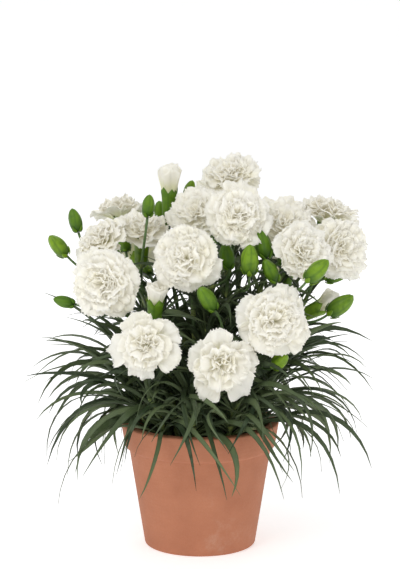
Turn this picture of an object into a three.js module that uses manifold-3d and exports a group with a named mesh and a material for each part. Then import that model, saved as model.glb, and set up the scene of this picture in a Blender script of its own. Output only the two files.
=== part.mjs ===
// A white carnation growing in a plain clay pot.
//
// Frame: millimetres, +Z up, the plant's front towards -Y. The origin is on the pot's axis, on the
// surface that the pot stands on. The plant is grown from the two lists below. The heads take their
// room first, then each stem finds a clear way from the soil to its head, and then each leaf grows
// until it would touch a neighbour. What grew as one shoot is joined into one piece, and the petals
// of each flower are a piece of their own.
import * as THREE from "three";
import { mergeVertices } from "three/addons/utils/BufferGeometryUtils.js";
import Module from "manifold-3d";

const wasm = await Module();
wasm.setup();

const vec = (x, y, z) => new THREE.Vector3(x, y, z);
const radians = THREE.MathUtils.degToRad;

// ---- Driving dimensions ---------------------------------------------------------------------------

const TOUCH_GAP = 0.3; // left between pieces that rest on or in each other

const POT_HEIGHT = 95;
const POT_RIM_RADIUS = 60;
const POT_BASE_RADIUS = 42;
const POT_WALL = 5;
const POT_FLOOR = 7;
const RIM_BAND_HEIGHT = 20;
const RIM_BAND_PROUD = 3;
const RIM_ROUNDING = 1.2;
const DRAIN_HOLES = 3;
const DRAIN_HOLE_RADIUS = 5;
const DRAIN_HOLE_CIRCLE = 24; // radius of the circle that the drain holes sit on

const HEADSPACE = 12; // from the rim down to the soil's edge
const SOIL_CROWN = 3; // how much higher the soil is in the middle
const SOIL_SHOULDER = { across: 0.6, up: 0.8 }; // where the crown turns down, as shares of its size

const STEM_RADIUS = 1.6;
const TWIG_RADIUS = 1.1;
const STEM_ROOM = 1.2; // least space beside a stem
const STEM_BENDS = [9, 18, 27]; // how far a stem may bend sideways to find room

const BLOOM_RADIUS = 25;
const BLOOM_DEPTH = 25; // from the calyx mouth to the top of the petals
const HALF_OPEN_RADIUS = 9.5; // of the petals that stand out of a half-open bud
const HALF_OPEN_DEPTH = 21;
const CALYX_LENGTH = 27;
const CALYX_RADIUS = 5.6;
const BUD_LENGTH = 22;
const BUD_RADIUS = 5.9;
const HEAD_SEAT = 1; // how far a stem's end reaches into its head

const LEAF_WIDTH = 4.4;
const LEAF_THICKNESS = 1.1;
const LEAF_ROOM = 0.3; // least space beside a leaf
const SHORTEST_LEAF = 28;
const LONGEST_STEM_LEAF = 84;
const LONGEST_SHOOT_LEAF = 112;

// ---- The plant's plan -----------------------------------------------------------------------------

// Each flowering stem has a root, as its angle round the pot in degrees and its share of the soil's
// radius, and its heads. The first head ends the stem, and the others end twigs that leave it at the
// share `from` of its length. `at` is the middle of the head: x, y and the height above the soil's
// edge. `face` is the way that it looks, and `size` its share of the full size.
const STEMS = [
  { name: "front_centre", root: [-75, 0.62], heads: [
    { kind: "bloom", at: [16, -92, 73], face: [0.12, -0.97, -0.05], size: 1.02 },
    { kind: "bud", at: [5, -68, 118], face: [-0.5, -0.3, 0.8], size: 1, from: 0.45 },
  ] },
  { name: "front_left", root: [-125, 0.66], heads: [
    { kind: "bloom", at: [-40, -88, 87], face: [-0.2, -0.96, 0.1], size: 0.98 },
    { kind: "half_open", at: [-32, -58, 118], face: [0.05, -0.3, 0.95], size: 0.75, from: 0.5 },
  ] },
  { name: "front_right", root: [-45, 0.66], heads: [
    { kind: "bloom", at: [54, -80, 104], face: [0.2, -0.93, 0.2], size: 1.06 },
    { kind: "bud", at: [58, -66, 72], face: [0.35, -0.6, 0.5], size: 0.9, from: 0.5 },
  ] },
  { name: "left", root: [-160, 0.6], heads: [
    { kind: "bloom", at: [-71, -52, 126], face: [-0.4, -0.9, 0.12], size: 1.08 },
    { kind: "bud", at: [-101, -20, 107], face: [-0.9, -0.1, 0.25], size: 0.75, from: 0.55 },
  ] },
  { name: "centre", root: [-100, 0.3], heads: [
    { kind: "bloom", at: [-10, -55, 146], face: [-0.05, -0.95, 0.3], size: 1.02 },
    { kind: "bud", at: [20, -18, 141], face: [-0.15, -0.2, 0.95], size: 0.95, from: 0.7 },
  ] },
  { name: "upper_right_of_centre", root: [-50, 0.35], heads: [
    { kind: "bloom", at: [28, -36, 175], face: [0.05, -0.85, 0.5], size: 0.98 },
    { kind: "bud", at: [36, -54, 144], face: [0.0, -0.25, 0.95], size: 1.1, from: 0.6 },
    { kind: "bud", at: [46, -36, 153], face: [-0.25, -0.1, 0.95], size: 1.05, from: 0.72 },
  ] },
  { name: "upper_left_of_centre", root: [130, 0.25], heads: [
    { kind: "bloom", at: [-3, 4, 171], face: [-0.3, -0.75, 0.55], size: 0.92 },
  ] },
  { name: "upper_left", root: [175, 0.5], heads: [
    { kind: "bloom", at: [-76, -10, 153], face: [-0.6, -0.35, 0.72], size: 0.95 },
    { kind: "bud", at: [-106, -2, 146], face: [-0.6, -0.2, 0.75], size: 0.95, from: 0.7 },
    { kind: "bud", at: [-94, 14, 163], face: [-0.25, 0.1, 0.95], size: 0.85, from: 0.82 },
  ] },
  { name: "left_of_centre", root: [150, 0.55], heads: [
    { kind: "bloom", at: [-43, 10, 160], face: [0.05, -0.35, 0.93], size: 0.9 },
    { kind: "bloom", at: [-62, 50, 168], face: [-0.15, 0.3, 0.93], size: 0.85, from: 0.6 },
    { kind: "bud", at: [-38, -14, 178], face: [0.1, -0.2, 0.95], size: 0.8, from: 0.85 },
  ] },
  { name: "tall_left", root: [100, 0.45], heads: [
    { kind: "half_open", at: [-23, 27, 189], face: [0.02, -0.1, 1], size: 1.0 },
    { kind: "bud", at: [-8, 42, 182], face: [0.3, 0, 0.95], size: 0.75, from: 0.8 },
    { kind: "bud", at: [-30, 48, 164], face: [-0.15, -0.2, 0.95], size: 0.9, from: 0.7 },
  ] },
  { name: "tall_centre", root: [45, 0.3], heads: [
    { kind: "bloom", at: [22, 34, 196], face: [-0.2, -0.5, 0.82], size: 1.02 },
  ] },
  { name: "upper_right", root: [-15, 0.5], heads: [
    { kind: "bloom", at: [65, 4, 164], face: [0.25, -0.6, 0.72], size: 1.02 },
    { kind: "bud", at: [51, -48, 135], face: [-0.45, -0.2, 0.85], size: 0.9, from: 0.6 },
  ] },
  { name: "right", root: [-28, 0.75], heads: [
    { kind: "bloom", at: [77, -44, 149], face: [0.45, -0.8, 0.35], size: 0.92 },
    { kind: "bud", at: [84, -72, 139], face: [0.6, -0.2, 0.65], size: 1.05, from: 0.72 },
  ] },
  { name: "far_right", root: [5, 0.7], heads: [
    { kind: "bloom", at: [106, -6, 145], face: [0.5, -0.8, 0.25], size: 0.98 },
    { kind: "bud", at: [104, -24, 105], face: [0.75, -0.1, 0.6], size: 1.1, from: 0.5 },
  ] },
  { name: "tall_right", root: [30, 0.6], heads: [
    { kind: "bloom", at: [98, 36, 168], face: [0.22, 0.05, 0.97], size: 1.0 },
    { kind: "bud", at: [104, 14, 122], face: [0.85, -0.1, 0.35], size: 1.0, from: 0.55 },
    { kind: "bud", at: [71, 30, 167], face: [-0.25, 0.1, 0.95], size: 0.75, from: 0.85 },
  ] },
  { name: "low_right", root: [15, 0.85], heads: [
    { kind: "bloom", at: [69, 62, 125], face: [0.15, 0.6, 0.75], size: 0.8 },
    { kind: "half_open", at: [96, 22, 97], face: [0.7, -0.1, 0.35], size: 0.85, from: 0.55 },
  ] },
  { name: "back_left", root: [125, 0.75], heads: [
    { kind: "bloom", at: [-52, 76, 131], face: [-0.35, 0.85, 0.4], size: 0.98 },
    { kind: "bud", at: [-74, 50, 123], face: [-0.6, 0.4, 0.7], size: 0.9, from: 0.6 },
  ] },
  { name: "back", root: [75, 0.75], heads: [
    { kind: "bloom", at: [14, 84, 149], face: [0.1, 0.85, 0.5], size: 1.0 },
    { kind: "bud", at: [40, 70, 129], face: [0.4, 0.5, 0.8], size: 0.95, from: 0.6 },
  ] },
];

// Shoots with no flower. Each has its root as above, its height, its lean outwards at the top in
// degrees, and how many pairs of leaves it has.
const SHOOTS = [
  { root: [-96, 0.9], height: 44, lean: 38, pairs: 5 },
  { root: [-60, 0.92], height: 40, lean: 40, pairs: 5 },
  { root: [-18, 0.9], height: 46, lean: 36, pairs: 5 },
  { root: [26, 0.92], height: 42, lean: 38, pairs: 5 },
  { root: [70, 0.92], height: 44, lean: 36, pairs: 5 },
  { root: [112, 0.92], height: 42, lean: 36, pairs: 5 },
  { root: [154, 0.9], height: 44, lean: 38, pairs: 5 },
  { root: [194, 0.9], height: 46, lean: 38, pairs: 5 },
  { root: [230, 0.9], height: 42, lean: 40, pairs: 5 },
  { root: [-78, 0.34], height: 84, lean: 10, pairs: 5 },
  { root: [2, 0.3], height: 90, lean: 12, pairs: 5 },
  { root: [90, 0.22], height: 88, lean: 12, pairs: 5 },
];

// Where the pairs of leaves are on a flowering stem, as shares of its length.
const STEM_LEAF_PLACES = [0.2, 0.42, 0.64];

// Outlines, as shares of the length and the radius or half width.
const CALYX_PROFILE = [[0, 0], [0.3, 0], [0.72, 0.18], [0.95, 0.6], [1, 1], [0, 1]];
const BUD_PROFILE = [[0, 0], [0.35, 0], [0.84, 0.2], [1, 0.5], [0.72, 0.82], [0.2, 1], [0, 1]];
const HALF_OPEN_PROFILE = [[0, 0], [0.5, 0], [0.98, 0.45], [0.85, 0.8], [0.3, 1], [0, 1]];
const BLOOM_PROFILE = [
  [0, 0],
  [0.2, 0],
  [0.62, 0.12],
  [1, 0.3],
  [0.97, 0.52],
  [0.74, 0.84],
  [0.34, 1],
  [0, 1.02],
];
const LEAF_WIDTHS = [0.5, 1, 0.8, 0.06]; // at even steps from its foot to its tip
const LEAST_LEAF_THICKNESS = 0.35; // at its tip, as a share of its thickness

// How coarse the solids are.
const POT_SIDES = 32;
const DRAIN_HOLE_SIDES = 12;
const PETAL_SIDES = 12;
const CALYX_SIDES = 6;
const STEM_FACETS = { sides: 5, steps: 7 };
const TWIG_FACETS = { sides: 4, steps: 3 };

// ---- Solids ---------------------------------------------------------------------------------------

function solidOf(geometry) {
  const bare = geometry.clone();
  bare.deleteAttribute("normal");
  bare.deleteAttribute("uv");
  const merged = mergeVertices(bare, 1e-3);
  return new wasm.Manifold(
    new wasm.Mesh({
      numProp: 3,
      vertProperties: new Float32Array(merged.attributes.position.array),
      triVerts: new Uint32Array(merged.index.array),
    }),
  );
}

function geometryOf(solid) {
  const { vertProperties, triVerts, numProp } = solid.getMesh();
  const vertices = new THREE.InterleavedBuffer(vertProperties, numProp);
  const geometry = new THREE.BufferGeometry();
  geometry.setAttribute("position", new THREE.InterleavedBufferAttribute(vertices, 3, 0));
  geometry.setIndex(new THREE.BufferAttribute(triVerts, 1));
  const faceted = geometry.toNonIndexed();
  faceted.computeVertexNormals();
  return faceted;
}

// Every shape below is a function of `margin`, how much fatter it is than its real size. A neighbour
// is cut back from the fat shape, so that the gap between them is the margin.

// A round rod of even thickness along a curve.
const rod = (curve, radius, { sides, steps }) => (margin) => {
  const outline = Array.from({ length: sides }, (_, i) => {
    const angle = (2 * Math.PI * i) / sides;
    return new THREE.Vector2(Math.cos(angle), Math.sin(angle)).multiplyScalar(radius + margin);
  });
  return new THREE.ExtrudeGeometry(new THREE.Shape(outline), { steps, extrudePath: curve });
};

// A turned shape that stands on `foot` and points along `way`. `ruffle` makes its rim go in and out,
// and up and down, as a share of its size.
const turned = ({ profile, sides, radius, length, foot, way, ruffle = 0 }) => (margin) => {
  const outline = profile.map(([across, along]) => new THREE.Vector2(across, along));
  const geometry = new THREE.LatheGeometry(outline, sides);
  const position = geometry.attributes.position;
  const turn = new THREE.Quaternion().setFromUnitVectors(vec(0, 1, 0), way);
  for (let v = 0; v < position.count; v++) {
    const p = new THREE.Vector3().fromBufferAttribute(position, v);
    const wave = ruffle * Math.cos((sides / 2) * Math.atan2(p.x, p.z)) * (p.x ** 2 + p.z ** 2);
    p.x *= (radius + margin) * (1 + wave);
    p.z *= (radius + margin) * (1 + wave);
    p.y = (p.y + wave * Math.min(1, 4 * p.y)) * (length + 2 * margin) - margin;
    p.applyQuaternion(turn).add(foot);
    position.setXYZ(v, p.x, p.y, p.z);
  }
  return geometry;
};

// A blade along a line of points: a three-sided bar, flat above and keeled below, that narrows to
// its tip. `side` is the direction of its width. Its faces slope, so its section grows by more than
// the margin.
const BLADE_SECTION = new THREE.Shape([
  new THREE.Vector2(-1, 0.4),
  new THREE.Vector2(0, -0.6),
  new THREE.Vector2(1, 0.4),
]);
const blade = (points, side) => (margin) => {
  const steps = points.length - 1;
  const geometry = new THREE.ExtrudeGeometry(BLADE_SECTION, { steps, depth: 1, bevelEnabled: false });
  const position = geometry.attributes.position;
  const frames = points.map((point, i) => {
    const ahead = points[Math.min(i + 1, steps)].clone().sub(points[Math.max(i - 1, 0)]).normalize();
    const across = side.clone().addScaledVector(ahead, -side.dot(ahead)).normalize();
    const stretch = margin * (i === steps ? 1 : i === 0 ? -1 : 0);
    const middle = point.clone().addScaledVector(ahead, stretch);
    return { middle, across, above: ahead.clone().cross(across) };
  });
  for (let v = 0; v < position.count; v++) {
    const i = Math.round(position.getZ(v) * steps);
    const { middle, across, above } = frames[i];
    const halfWidth = (LEAF_WIDTH / 2) * LEAF_WIDTHS[i] + 2 * margin;
    const thickness = LEAF_THICKNESS * Math.max(LEAF_WIDTHS[i], LEAST_LEAF_THICKNESS) + 3 * margin;
    const p = middle
      .clone()
      .addScaledVector(across, position.getX(v) * halfWidth)
      .addScaledVector(above, position.getY(v) * thickness);
    position.setXYZ(v, p.x, p.y, p.z);
  }
  return geometry;
};

// ---- Pot and soil ---------------------------------------------------------------------------------

const soilHeight = POT_HEIGHT - HEADSPACE;
const bodyTopRadius = POT_RIM_RADIUS - RIM_BAND_PROUD;
const potOuterRadius = (z) => POT_BASE_RADIUS + ((bodyTopRadius - POT_BASE_RADIUS) * z) / POT_HEIGHT;
const potInnerRadius = (z) => potOuterRadius(z) - POT_WALL;

// Turned about the Z axis. The outline runs from the bottom of the axis, outwards and up.
function turnedUpright(outline) {
  const points = outline.map(([radius, z]) => new THREE.Vector2(radius, z));
  return new THREE.LatheGeometry(points, POT_SIDES).rotateX(Math.PI / 2);
}

function potSolid() {
  const bandFoot = POT_HEIGHT - RIM_BAND_HEIGHT;
  const shell = turnedUpright([
    [0, 0],
    [POT_BASE_RADIUS, 0],
    [potOuterRadius(bandFoot), bandFoot],
    [potOuterRadius(bandFoot) + RIM_BAND_PROUD, bandFoot + RIM_ROUNDING],
    [POT_RIM_RADIUS, POT_HEIGHT - RIM_ROUNDING],
    [POT_RIM_RADIUS - RIM_ROUNDING, POT_HEIGHT],
    [potInnerRadius(POT_HEIGHT) + RIM_ROUNDING, POT_HEIGHT],
    [potInnerRadius(POT_HEIGHT), POT_HEIGHT - RIM_ROUNDING],
    [potInnerRadius(POT_FLOOR), POT_FLOOR],
    [0, POT_FLOOR],
  ]);
  let pot = solidOf(shell);
  for (let i = 0; i < DRAIN_HOLES; i++) {
    const angle = Math.PI / 2 + (2 * Math.PI * i) / DRAIN_HOLES;
    const hole = new THREE.CylinderGeometry(
      DRAIN_HOLE_RADIUS,
      DRAIN_HOLE_RADIUS,
      3 * POT_FLOOR,
      DRAIN_HOLE_SIDES,
    );
    hole.rotateX(Math.PI / 2);
    hole.translate(DRAIN_HOLE_CIRCLE * Math.cos(angle), DRAIN_HOLE_CIRCLE * Math.sin(angle), 0);
    pot = pot.subtract(solidOf(hole));
  }
  return pot;
}

const soilRadius = potInnerRadius(soilHeight) - TOUCH_GAP;
const shoulder = {
  radius: SOIL_SHOULDER.across * soilRadius,
  z: soilHeight + SOIL_SHOULDER.up * SOIL_CROWN,
};

function soilSolid() {
  const foot = POT_FLOOR + TOUCH_GAP;
  return solidOf(
    turnedUpright([
      [0, foot],
      [potInnerRadius(foot) - TOUCH_GAP, foot],
      [soilRadius, soilHeight],
      [shoulder.radius, shoulder.z],
      [0, soilHeight + SOIL_CROWN],
    ]),
  );
}

// The height of the soil's surface at a distance from the axis.
function soilSurface(fromAxis) {
  const top = soilHeight + SOIL_CROWN;
  if (fromAxis < shoulder.radius) return top + ((shoulder.z - top) * fromAxis) / shoulder.radius;
  const share = (fromAxis - shoulder.radius) / (soilRadius - shoulder.radius);
  return shoulder.z + (soilHeight - shoulder.z) * Math.min(share, 1);
}

// Whether a ball touches the pot or the soil.
function meetsPot(p, radius) {
  const fromAxis = Math.hypot(p.x, p.y);
  const reach = radius + TOUCH_GAP;
  if (p.z > POT_HEIGHT + reach || fromAxis > POT_RIM_RADIUS + reach) return false;
  const inHeadspace = p.z > soilSurface(fromAxis) && fromAxis < potInnerRadius(p.z) - reach;
  return !inHeadspace;
}

function rootPoint([angle, share]) {
  const fromAxis = share * (soilRadius - 3 * STEM_RADIUS);
  const z = soilSurface(Math.max(fromAxis - STEM_RADIUS, 0)) + 2 * TOUCH_GAP;
  return vec(fromAxis * Math.cos(radians(angle)), fromAxis * Math.sin(radians(angle)), z);
}

// ---- Room: what has grown so far, as balls that later pieces keep clear of ------------------------

const balls = [];

function occupy(owner, points, radius) {
  for (const point of points) balls.push({ point, radius, owner });
}

// How many points of a line, counted from its start, are clear of the pot and of other owners.
function clearPoints(owner, points, radius, room) {
  const blocked = points.findIndex(
    (point) =>
      meetsPot(point, radius) ||
      balls.some(
        (ball) =>
          ball.owner !== owner && ball.point.distanceTo(point) < ball.radius + radius + room,
      ),
  );
  return blocked < 0 ? points.length : blocked;
}

// ---- Heads: open flowers, half-open buds and closed buds ------------------------------------------

const BALL_SPACING = 3; // between the balls that stand for a line
const CALYX_BALLS = 5;

// The share of the petals' depth that lies below a head's middle.
const SUNK = { bloom: 0.45, half_open: 0.3 };

// The share of a calyx's length that doesn't change with the flower's size.
const CALYX_FIXED_LENGTH = 0.7;

// The balls that stand for a flower, as shares of its radius: one in the middle and a ring of them.
const FLOWER_BALLS = { up: 0.5, middle: 0.6, out: 0.6, ring: 0.42, count: 8 };

const PETAL_RUFFLE = 0.065;

function pointsAlong(start, way, length, count) {
  return Array.from({ length: count + 1 }, (_, i) =>
    start.clone().addScaledVector(way, (length * i) / count),
  );
}

// Where a head's green part starts and ends, and where its petals stand.
function layOut(head) {
  const [x, y, height] = head.at;
  const middle = vec(x, y, soilHeight + height);
  const way = vec(...head.face).normalize();
  if (head.kind === "bud") {
    const length = BUD_LENGTH * head.size;
    return { way, length, radius: BUD_RADIUS * head.size, foot: middle.addScaledVector(way, -length / 2) };
  }
  const length = CALYX_LENGTH * (CALYX_FIXED_LENGTH + (1 - CALYX_FIXED_LENGTH) * head.size);
  const depth = head.kind === "bloom" ? BLOOM_DEPTH : HALF_OPEN_DEPTH;
  const mouth = middle.addScaledVector(way, -SUNK[head.kind] * depth * head.size);
  return { way, length, radius: CALYX_RADIUS, mouth, foot: mouth.clone().addScaledVector(way, -length) };
}

function occupyHead(stem, head, place) {
  const { way, foot, length, radius, mouth } = place;
  occupy(stem.name, pointsAlong(foot, way, length, CALYX_BALLS), radius);
  if (head.kind === "bud") return;
  const petals = `petals of ${stem.name} ${stem.heads.indexOf(head)}`;
  if (head.kind === "half_open") {
    const line = pointsAlong(mouth, way, HALF_OPEN_DEPTH * head.size, 3);
    occupy(petals, line.slice(1), HALF_OPEN_RADIUS * head.size);
    return;
  }
  const spread = BLOOM_RADIUS * head.size;
  const middle = mouth.clone().addScaledVector(way, FLOWER_BALLS.up * spread);
  const side = vec(way.y, -way.x, 0).normalize();
  const ring = Array.from({ length: FLOWER_BALLS.count }, (_, i) => {
    const out = side.clone().applyAxisAngle(way, (2 * Math.PI * i) / FLOWER_BALLS.count);
    return middle.clone().addScaledVector(out, FLOWER_BALLS.out * spread);
  });
  occupy(petals, [middle], FLOWER_BALLS.middle * spread);
  occupy(petals, ring, FLOWER_BALLS.ring * spread);
}

const greenPart = (head, { way, length, radius, foot }) =>
  turned({
    profile: head.kind === "bud" ? BUD_PROFILE : CALYX_PROFILE,
    sides: CALYX_SIDES,
    radius,
    length: length + HEAD_SEAT,
    foot: foot.clone().addScaledVector(way, -HEAD_SEAT),
    way,
  });

const petalPart = (head, { way, mouth }) => {
  const isBloom = head.kind === "bloom";
  return turned({
    profile: isBloom ? BLOOM_PROFILE : HALF_OPEN_PROFILE,
    sides: PETAL_SIDES,
    radius: (isBloom ? BLOOM_RADIUS : HALF_OPEN_RADIUS) * head.size,
    length: (isBloom ? BLOOM_DEPTH : HALF_OPEN_DEPTH) * head.size,
    foot: mouth.clone().addScaledVector(way, TOUCH_GAP),
    way,
    ruffle: PETAL_RUFFLE,
  });
};

// ---- Stems ----------------------------------------------------------------------------------------

const BEND_WAYS = 8;
const END_BEND = 0.6; // how much of a bend is left near the head
const EASE = 0.38; // how long a stem keeps its direction at each end, as a share of its span
const ROOT_LEAN = 0.25; // how far a stem at the pot's wall leans out
const TWIG_TURN = 0.8; // how sharply a twig turns to its head where it leaves the stem

// The sideways bends that a stem tries, the smallest first.
const BENDS = [vec(0, 0, 0)];
for (const far of STEM_BENDS) {
  for (let i = 0; i < BEND_WAYS; i++) {
    const angle = (2 * Math.PI * i) / BEND_WAYS;
    BENDS.push(vec(far * Math.cos(angle), far * Math.sin(angle), 0));
  }
}

function bentLine(start, startWay, end, endWay, bend) {
  const reach = EASE * start.distanceTo(end);
  return new THREE.CubicBezierCurve3(
    start,
    start.clone().addScaledVector(startWay, reach).add(bend),
    end.clone().addScaledVector(endWay, -reach).addScaledVector(bend, END_BEND),
    end,
  );
}

// The least bent line between two ends that is clear of everything else.
function growStem(owner, start, startWay, end, endWay, radius) {
  let best = { clear: -1 };
  for (const bend of BENDS) {
    const curve = bentLine(start, startWay, end, endWay, bend);
    const points = curve.getSpacedPoints(Math.ceil(curve.getLength() / BALL_SPACING));
    const clear = clearPoints(owner, points, radius, STEM_ROOM) / points.length;
    if (clear > best.clear) best = { curve, points, clear };
    if (clear === 1) break;
  }
  occupy(owner, best.points, radius);
  return best.curve;
}

function growHeadStem(stem, head, place, mainCurve) {
  if (!mainCurve) {
    const root = rootPoint(stem.root);
    const lean = vec(root.x, root.y, 0).multiplyScalar(ROOT_LEAN / soilRadius);
    const up = vec(0, 0, 1).add(lean).normalize();
    return growStem(stem.name, root, up, place.foot, place.way, STEM_RADIUS);
  }
  const start = mainCurve.getPointAt(head.from);
  const towards = place.foot.clone().sub(start).normalize().multiplyScalar(TWIG_TURN);
  const startWay = mainCurve.getTangentAt(head.from).add(towards).normalize();
  return growStem(stem.name, start, startWay, place.foot, place.way, TWIG_RADIUS);
}

const SHOOT_STEPS = 4;
function growShoot(shoot) {
  const angle = radians(shoot.root[0]);
  const points = [rootPoint(shoot.root)];
  for (let i = 1; i <= SHOOT_STEPS; i++) {
    const tilt = radians((shoot.lean * i) / SHOOT_STEPS);
    const out = Math.sin(tilt);
    const way = vec(out * Math.cos(angle), out * Math.sin(angle), Math.cos(tilt));
    points.push(points[i - 1].clone().addScaledVector(way, shoot.height / SHOOT_STEPS));
  }
  const curve = new THREE.CatmullRomCurve3(points);
  occupy(shoot.name, curve.getSpacedPoints(Math.ceil(shoot.height / BALL_SPACING)), STEM_RADIUS);
  return curve;
}

// ---- Leaves ---------------------------------------------------------------------------------------

// Leaves vary by chance, but the same way each time.
let seed = 2024;
function chance(low, high) {
  seed = (seed * 16807) % 2147483647;
  return low + ((high - low) * seed) / 2147483647;
}

const LEAF_TRIES = 9;
const LEAF_POINTS = 24; // of the line that is tested for room
const DROOP_DELAY = 1.3; // above 1, a leaf bends more towards its tip

// How far a leaf strays from its plan: angles in degrees, and the droop as a share.
const STRAY = { azimuth: 16, rise: 8, droop: 0.2, sweep: 35 };

// A leaf's middle line. It leaves the stem at the angle `rise` above level and bends down by `droop`.
function leafLine({ start, azimuth, rise, droop, sweep, length }) {
  const step = length / LEAF_POINTS;
  const first = vec(Math.cos(radians(azimuth)), Math.sin(radians(azimuth)), 0);
  const points = [start.clone().addScaledVector(first, STEM_RADIUS / 2)];
  for (let i = 1; i <= LEAF_POINTS; i++) {
    const t = (i - 0.5) / LEAF_POINTS;
    const angle = radians(azimuth + sweep * t * t);
    const slope = radians(rise - droop * t ** DROOP_DELAY);
    const flat = Math.cos(slope);
    const way = vec(flat * Math.cos(angle), flat * Math.sin(angle), Math.sin(slope));
    points.push(points[i - 1].clone().addScaledVector(way, step));
  }
  return points;
}

// Grows a leaf the best of a few ways, and stops it short of its neighbours.
function growLeaf(owner, leaf) {
  let best = [];
  for (let i = 0; i < LEAF_TRIES; i++) {
    const wander = 1 + i / 3;
    const line = leafLine({
      ...leaf,
      azimuth: leaf.azimuth + wander * chance(-STRAY.azimuth, STRAY.azimuth),
      rise: leaf.rise + wander * chance(-STRAY.rise, STRAY.rise),
      droop: leaf.droop * chance(1 - STRAY.droop, 1 + STRAY.droop),
      sweep: chance(-STRAY.sweep, STRAY.sweep),
    });
    const clear = clearPoints(owner, line, LEAF_WIDTH / 2, LEAF_ROOM);
    if (clear > best.length) best = line.slice(0, clear);
    if (clear === line.length) break;
  }
  if ((leaf.length * (best.length - 1)) / LEAF_POINTS < SHORTEST_LEAF) return [];
  occupy(owner, best, LEAF_WIDTH / 2);
  const rings = LEAF_WIDTHS.map(
    (_, i) => best[Math.round((i * (best.length - 1)) / (LEAF_WIDTHS.length - 1))],
  );
  const angle = radians(leaf.azimuth);
  return [blade(rings, vec(-Math.sin(angle), Math.cos(angle), 0))];
}

// Two leaves stand opposite each other.
const leafPair = (owner, leaf) =>
  [0, 180].flatMap((turn) => growLeaf(owner, { ...leaf, azimuth: leaf.azimuth + turn }));

// How the leaves of a flowering stem stand, in degrees. `turn` is the first pair's angle from the
// root's. Higher ones are shorter and stand more upright.
const STEM_LEAF = { turn: 40, rise: 58, moreRise: 14, droop: 70, shortening: 0.6 };

// Each pair is a quarter turn from the last.
const stemLeaves = (stem, curve) =>
  STEM_LEAF_PLACES.flatMap((place, i) =>
    leafPair(stem.name, {
      start: curve.getPointAt(place),
      azimuth: stem.root[0] + STEM_LEAF.turn + 90 * i,
      length: LONGEST_STEM_LEAF * (1 - STEM_LEAF.shortening * (place - STEM_LEAF_PLACES[0])),
      rise: STEM_LEAF.rise + STEM_LEAF.moreRise * place,
      droop: STEM_LEAF.droop,
    }),
  );

// The same for a shoot. The youngest leaves are at the top, short and upright, and the oldest arch
// down over the rim. `top` is where the youngest pair is, as a share of the shoot's length.
const SHOOT_LEAF = { turn: 45, top: 0.97, rise: 75, lessRise: 50, droop: 60, moreDroop: 45 };
const YOUNGEST_LEAF = 0.78; // its length, as a share of the longest
const LEAF_LENGTH_STRAY = 0.08;

const shootLeaves = (shoot, curve) =>
  Array.from({ length: shoot.pairs }, (_, i) => i / shoot.pairs).flatMap((age, i) => {
    const stray = chance(-LEAF_LENGTH_STRAY, LEAF_LENGTH_STRAY);
    return leafPair(shoot.name, {
      start: curve.getPointAt(SHOOT_LEAF.top * (1 - age)),
      azimuth: shoot.root[0] + SHOOT_LEAF.turn + 90 * i,
      length: LONGEST_SHOOT_LEAF * (YOUNGEST_LEAF + (1 - YOUNGEST_LEAF) * age + stray),
      rise: SHOOT_LEAF.rise - SHOOT_LEAF.lessRise * age,
      droop: SHOOT_LEAF.droop + SHOOT_LEAF.moreDroop * age,
    });
  });

// ---- Growing --------------------------------------------------------------------------------------

SHOOTS.forEach((shoot, i) => {
  shoot.name = `shoot_${String(i + 1).padStart(2, "0")}`;
});

const places = new Map();
for (const stem of STEMS) {
  for (const head of stem.heads) {
    places.set(head, layOut(head));
    occupyHead(stem, head, places.get(head));
  }
}

const headCurves = new Map();
for (const stem of STEMS) {
  for (const head of stem.heads) {
    const mainCurve = headCurves.get(stem.heads[0]);
    headCurves.set(head, growHeadStem(stem, head, places.get(head), mainCurve));
  }
}

const shootCurves = SHOOTS.map(growShoot);

// Each piece is a name, a material and the shapes that are joined to make it.
const greenPieces = [
  ...STEMS.map((stem) => ({
    name: `stem_${stem.name}`,
    look: "stem",
    shapes: [
      ...stem.heads.map((head, i) =>
        i === 0
          ? rod(headCurves.get(head), STEM_RADIUS, STEM_FACETS)
          : rod(headCurves.get(head), TWIG_RADIUS, TWIG_FACETS),
      ),
      ...stem.heads.map((head) => greenPart(head, places.get(head))),
      ...stemLeaves(stem, headCurves.get(stem.heads[0])),
    ],
  })),
  ...SHOOTS.map((shoot, i) => ({
    name: shoot.name,
    look: "leaf",
    shapes: [
      rod(shootCurves[i], STEM_RADIUS, { sides: STEM_FACETS.sides, steps: SHOOT_STEPS }),
      ...shootLeaves(shoot, shootCurves[i]),
    ],
  })),
];

const petalPieces = STEMS.flatMap((stem) =>
  stem.heads
    .filter((head) => head.kind !== "bud")
    .map((head, i) => ({
      name: `${head.kind}_${stem.name}${i ? "_side" : ""}`,
      look: "petal",
      shapes: [petalPart(head, places.get(head))],
    })),
);

// ---- Assembly -------------------------------------------------------------------------------------

const LOOKS = {
  clay: { color: "#b5694a", roughness: 0.85, metalness: 0 },
  soil: { color: "#33261c", roughness: 0.95, metalness: 0 },
  stem: { color: "#6b8a4a", roughness: 0.6, metalness: 0 },
  leaf: { color: "#56685a", roughness: 0.6, metalness: 0 },
  petal: { color: "#f1eee4", roughness: 0.75, metalness: 0 },
};

const joined = (shapes, margin) =>
  shapes.map((shape) => solidOf(shape(margin))).reduce((all, one) => all.add(one));

const largestBody = (solid) =>
  solid.decompose().reduce((a, b) => (a.volume() > b.volume() ? a : b));

// Each grown piece is cut back where it would still meet one before it.
const OVERLAP = 1e-3; // mm3 below which two pieces count as apart
const finished = [];
for (const piece of [...greenPieces, ...petalPieces]) {
  let solid = joined(piece.shapes, 0);
  for (const other of finished) {
    if (solid.intersect(other.solid).volume() < OVERLAP) continue;
    solid = largestBody(solid.subtract(joined(other.shapes, TOUCH_GAP)));
  }
  finished.push({ ...piece, solid });
}

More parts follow.
